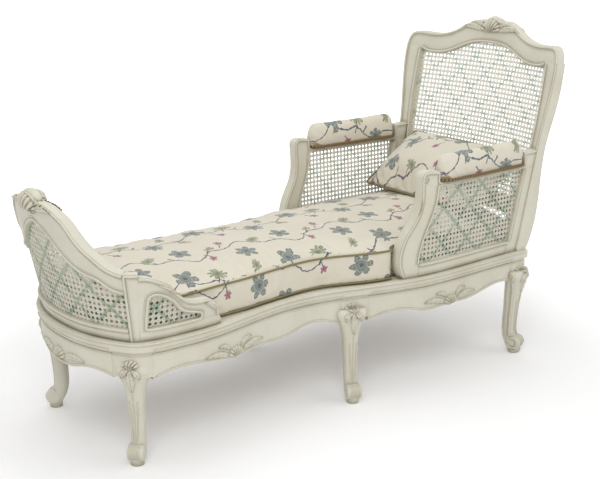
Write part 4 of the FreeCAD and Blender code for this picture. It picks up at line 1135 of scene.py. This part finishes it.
def loose_pillow():
    low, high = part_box("pillow")
    middle = (low + high) / 2
    seam = even_line("pillow", middle, PILLOW_UP, 0.006)
    stuffed("pillow", "pillow", PILLOW_VOXEL, (seam,), (0.006, 0.008), 4.0, 0.05, PILLOW_UP, pillow_map)
    piping("pillow_piping", (seam,), PIPING_RADIUS * 0.9, "pillow")


def twisted(line, radius, turns_per_metre, share):
    """One strand that winds round a closed line."""
    fine = resampled(line, True, 0.0013)
    total = len(fine) * 0.0013
    turns = round(total * turns_per_metre)
    out = []
    for i, spot in enumerate(fine):
        along = (fine[(i + 1) % len(fine)] - fine[i - 1]).normalized()
        side = along.cross(Vector((0, 0, 1))).normalized()
        angle = 2 * math.pi * (turns * i / len(fine) + share)
        out.append(spot + side * (radius * math.cos(angle)) + Vector((0, 0, 1)) * (radius * math.sin(angle)))
    return out


def arm_pads():
    up = Vector((0, 0, 1))
    for side in SIDES:
        node = f"arm_pad_{side}"
        low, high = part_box(node)
        middle = (low + high) / 2
        foot = even_line(node, Vector((0, 0, low.z + 0.006)), up, 0.005)

        def pad_map(point, normal, middle=middle):
            turn = math.atan2(point.y - middle.y, point.z - middle.z + 0.02)
            return point.x, turn * 0.036 + 0.1

        stuffed(node, "frame", PAD_VOXEL, (foot,), (0.0015, 0.003), 3.0, 0.02, up, pad_map)
        braid = f"arm_pad_braid_{side}"
        low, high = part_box(braid)
        line = even_line(braid, Vector((0, 0, (low.z + high.z) / 2)), up, 0.004)
        bm = bmesh.new()
        for i in range(3):
            wound = twisted(line, BRAID_RADIUS * 0.5, BRAID_TURNS, i / 3)
            mesh = tube_mesh([(wound, True)], BRAID_RADIUS * 0.62)
            first = len(bm.faces)
            bm.from_mesh(mesh)
            bpy.data.meshes.remove(mesh)
            bm.faces.ensure_lookup_table()
            for face in bm.faces[first:]:
                face.material_index = 1 if i == 0 else 0
        piece = new_piece(braid + "_twisted", mesh_of(bm, braid), "frame", "braid", BRAID, BRAID_PALE)
        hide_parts(braid)


seat_cushion()
loose_pillow()
arm_pads()


# Carving, laid out flat as u and v and raised on the surface that a place function finds

def seen_from(tree, start, way, up=Vector((0, 0, 1))):
    """A place function: rays along one way, u to the side and v up."""
    aside = way.cross(up).normalized()

    def place(u, v):
        hit = tree.ray_cast(start + aside * u + up * v - way * 0.3, way)
        return hit[:2] if hit[0] is not None else (None, None)
    return place


def laid_grid(bm, place, flat, heights):
    """A grid of points with heights over the surface; cells that miss it are left out."""
    rows = []
    for flat_row, height_row in zip(flat, heights):
        row = []
        for (u, v), height in zip(flat_row, height_row):
            point, normal = place(u, v)
            row.append(bm.verts.new(point + normal * height) if point is not None else None)
        rows.append(row)
    for one, other in zip(rows, rows[1:]):
        for i in range(len(one) - 1):
            corners = [one[i], one[i + 1], other[i + 1], other[i]]
            if all(corners):
                bm.faces.new(corners)


CARVED_LIFT = 1.5


def carved_leaf(bm, place, start, end, bow, wide, high, lobes=5):
    """A leaf with a midrib and lobed edges, bowed to one side."""
    reach = Vector(end) - Vector(start)
    across = Vector((-reach.y, reach.x)).normalized()
    flat, heights = [], []
    for i in range(25):
        t = i / 24
        spine = Vector(start) + reach * t + across * (bow * math.sin(math.pi * t))
        body_width = math.sin(math.pi * min(1, t ** 0.75)) ** 0.8
        lobe = 0.82 + 0.18 * abs(math.cos(lobes * math.pi * t))
        half = max(wide / 2 * body_width * lobe, 0.0006)
        flat.append([tuple(spine + across * (half * a / 6)) for a in range(-6, 7)])
        row = []
        for a in range(-6, 7):
            share = a / 6
            body = CARVED_LIFT * high * (1 - share ** 2) ** 0.6 * (0.35 + 0.65 * math.sin(math.pi * t) ** 0.5)
            rib = -0.45 * high * math.exp(-(share / 0.16) ** 2)
            vein = 0.24 * high * math.cos(2 * math.pi * (lobes * t + abs(share) * 0.8))
            row.append(-0.0012 if abs(a) == 6 or i in (0, 24) else body + rib + vein)
        heights.append(row)
    laid_grid(bm, place, flat, heights)


def leaf_pair(bm, place, start, end, bow, wide, high, lobes):
    """A leaf and its mirror image, to the left and right of the place's middle."""
    for turn in (-1, 1):
        near, far = (turn * start[0], start[1]), (turn * end[0], end[1])
        carved_leaf(bm, place, near, far, turn * bow, wide, high, lobes)


def carved_shell(bm, place, centre, radius, low_angle, high_angle, ribs, high):
    """A fan of ribs with a scalloped rim and a boss at its root."""
    flat, heights = [], []
    steps = ribs * 6
    for i in range(steps + 1):
        share = i / steps
        angle = low_angle + (high_angle - low_angle) * share
        rib = abs(math.sin(math.pi * ribs * share)) ** 0.7
        rim = radius * (0.88 + 0.12 * rib)
        flat_row, height_row = [], []
        for j in range(11):
            reach = j / 10
            out = rim * reach
            flat_row.append((centre[0] + out * math.cos(angle), centre[1] + out * math.sin(angle)))
            dome = math.sin(math.pi * min(1.0, 0.12 + 0.80 * reach)) ** 0.6
            lift = CARVED_LIFT * high * (0.35 + 0.65 * rib * min(1, reach * 2.5)) * dome
            height_row.append(-0.0012 if j == 10 or i in (0, steps) else lift)
        flat.append(flat_row)
        heights.append(height_row)
    laid_grid(bm, place, flat, heights)


def scroll_line(place, centre, radius, turns, start, lift=0.0004):
    line = []
    for i in range(int(turns * 28) + 1):
        share = i / (turns * 28)
        angle = start + 2 * math.pi * turns * share
        reach = radius * (1 - 0.82 * share)
        point, normal = place(centre[0] + reach * math.cos(angle), centre[1] + reach * math.sin(angle))
        if point is not None:
            line.append(point + normal * lift)
    return line


def carving(name, bm, lines=(), radius=0.002):
    """The carved work of one place as a piece of the frame."""
    for line in lines:
        if len(line) > 3:
            mesh = tube_mesh([(smoothed(line, False, 2), False)], radius, sides=1)
            bm.from_mesh(mesh)
            bpy.data.meshes.remove(mesh)
    bmesh.ops.recalc_face_normals(bm, faces=bm.faces)
    return new_piece(name, mesh_of(bm, name), "frame", "painted_wood", PAINTED)


def leg_place(node, out):
    """Rays at a leg from one side in plan: u across, v up, round the leg's own middle at v."""
    tree = tree_of(node)
    points = [v.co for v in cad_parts[node].data.vertices if v.co.z < 0.34]
    aside = Vector((-out.y, out.x, 0))

    def place(u, v):
        ring = [p for p in points if abs(p.z - v) < 0.010]
        if not ring:
            return None, None
        middle = Vector(((min(p.x for p in ring) + max(p.x for p in ring)) / 2,
                         (min(p.y for p in ring) + max(p.y for p in ring)) / 2, v))
        hit = tree.ray_cast(middle + aside * u + out * 0.2, -out)
        return hit[:2] if hit[0] is not None else (None, None)
    return place


def leg_carving(node, out):
    """A three-lobed knee with a hanging leaf, a ridge down the shank and ribs on the toe."""
    place = leg_place(node, out)
    bm = bmesh.new()
    carved_shell(bm, place, (0, 0.262), 0.026, math.radians(20), math.radians(160), 5, 0.0055)
    for turn in (-1, 1):
        carved_leaf(bm, place, (turn * 0.004, 0.262), (turn * 0.024, 0.236), turn * 0.004, 0.016, 0.0042, 3)
    carved_leaf(bm, place, (0, 0.260), (0, 0.196), 0, 0.022, 0.0045, 4)
    lines = []
    for u in (-0.011, 0, 0.011):
        line = []
        for i in range(34):
            height = 0.19 - i * 0.004 if u == 0 else 0.17 - i * 0.0032
            point, normal = place(u * (0.55 + 0.45 * (height - 0.06) / 0.12), height)
            if point is not None:
                line.append(point)
        lines.append(line)
    for u in (-0.012, -0.006, 0, 0.006, 0.012):
        line = [place(u, 0.052 - 0.003 * i) for i in range(12)]
        lines.append([point for point, normal in line if point is not None])
    carving(node + "_carving", bm, lines, 0.0017)


def carvings():
    diagonal = {"foot_leg": (-0.8, 0.6), "mid_leg": (-0.25, 0.97), "rear_post": (0.35, 0.94)}
    for side in SIDES:
        turn = OUT_OF[side].y
        for name, (x, y) in diagonal.items():
            leg_carving(f"{name}_{side}", Vector((x, y * turn, 0)).normalized())
        for name, x in (("side_rail_foot", -0.382), ("side_rail_head", 0.349)):
            node = f"{name}_{side}"
            place = seen_from(tree_of(node), Vector((x, turn * 0.3, 0.243)), -OUT_OF[side])
            bm = bmesh.new()
            carved_shell(bm, place, (0, -0.014), 0.030, math.radians(15), math.radians(165), 7, 0.006)
            leaf_pair(bm, place, (0.022, -0.006), (0.105, 0.006), 0.008, 0.019, 0.0042, 5)
            leaf_pair(bm, place, (0.018, 0.010), (0.062, 0.026), 0.006, 0.014, 0.0036, 4)
            carving(node + "_shell", bm)
        node = f"wing_rail_{side}"
        place = seen_from(tree_of(node), Vector((-0.5, turn * 0.3, 0)), -OUT_OF[side])
        aside = 1 if side == "left" else -1
        bm = bmesh.new()
        tip, root = (aside * 0.052, 0.378), (aside * 0.010, 0.404)
        carved_leaf(bm, place, tip, root, -aside * 0.006, 0.020, 0.0045, 4)
        tip, root = (-aside * 0.125, 0.484), (-aside * 0.070, 0.446)
        carved_leaf(bm, place, tip, root, aside * 0.004, 0.017, 0.004, 4)
        carving(node + "_leaf", bm, [scroll_line(place, (aside * 0.046, 0.386), 0.014, 1.4, 0)], 0.0022)
        node = f"arm_rail_{side}"
        place = seen_from(tree_of(node, f"arm_support_{side}"), Vector((0.2, turn * 0.3, 0)), -OUT_OF[side])
        bm = bmesh.new()
        carved_leaf(bm, place, (aside * 0.016, 0.57), (aside * 0.012, 0.515), 0.003, 0.018, 0.004, 4)
        knuckle = scroll_line(place, (aside * 0.032, 0.616), 0.014, 1.5, math.pi)
        carving(node + "_scroll", bm, [knuckle], 0.0022)
    tree = tree_of("foot_rail")
    place = seen_from(tree, Vector((-0.75, 0, 0.25)), Vector((1, 0, 0)))
    bm = bmesh.new()
    carved_shell(bm, place, (0, -0.012), 0.032, math.radians(10), math.radians(170), 7, 0.0065)
    leaf_pair(bm, place, (0.024, -0.004), (0.115, 0.006), 0.008, 0.020, 0.0045, 5)
    carving("foot_rail_shell", bm)
    for node, start, way, name in (
        ("back_crest_rail", 0.6, 1, "back_crest_front"),
        ("back_crest_rail", 1.0, -1, "back_crest_rear"),
        ("footboard_crest_rail", -0.95, 1, "foot_crest_outer"),
        ("footboard_crest_rail", -0.5, -1, "foot_crest_inner"),
    ):
        tree = tree_of(node)
        low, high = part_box(node)
        place = seen_from(tree, Vector((start, 0, 0)), Vector((way, 0, 0)))
        top = high.z
        bm = bmesh.new()
        carved_shell(bm, place, (0, top - 0.052), 0.045, math.radians(8), math.radians(172), 9, 0.008)
        leaf_pair(bm, place, (0.030, top - 0.046), (0.125, top - 0.040), 0.008, 0.024, 0.0055, 6)
        leaf_pair(bm, place, (0.028, top - 0.034), (0.085, top - 0.026), 0.006, 0.016, 0.0045, 4)
        if node == "back_crest_rail":
            leaf_pair(bm, place, (0.115, top - 0.040), (0.205, top - 0.052), 0.006, 0.018, 0.0045, 6)
        carving(name, bm)


carvings()


# The moulding at the seat's cap runs on over the leg blocks

CAP_BEADS = ((0.3272, 0.0034), (0.3035, 0.0024), (0.2955, 0.0014))
CAP_REAR_X = 0.668
CAP_TURN_X = -0.50


def cap_line(tree, z):
    """The seat's outline at one height, from the left rear corner round the foot to the right."""
    rays = []
    steps = 260
    for i in range(steps):
        x = CAP_REAR_X + (CAP_TURN_X - CAP_REAR_X) * i / steps
        rays.append((Vector((x, -0.6, z)), Vector((0, 1, 0))))
    for i in range(steps + 1):
        angle = math.pi * i / steps
        way = Vector((math.sin(angle), math.cos(angle), 0))
        rays.append((Vector((CAP_TURN_X, 0, z)) - way * 0.7, way))
    mirror = [(Vector((start.x, -start.y, z)), Vector((0, -1, 0))) for start, way in rays[:steps]]
    hits = [tree.ray_cast(start, way)[0] for start, way in rays + mirror[::-1]]
    return [hit for hit in hits if hit is not None]


def seat_cap():
    tree = tree_of(*RAILS, *LEGS, "rear_post_left", "rear_post_right")
    bm = bmesh.new()
    for z, radius in CAP_BEADS:
        line = smoothed(resampled(cap_line(tree, z), False, BEAD_STEP), False, 4)
        mesh = tube_mesh([(line, False)], radius, sides=2)
        bm.from_mesh(mesh)
        bpy.data.meshes.remove(mesh)
    carving("seat_cap_moulding", bm)


seat_cap()
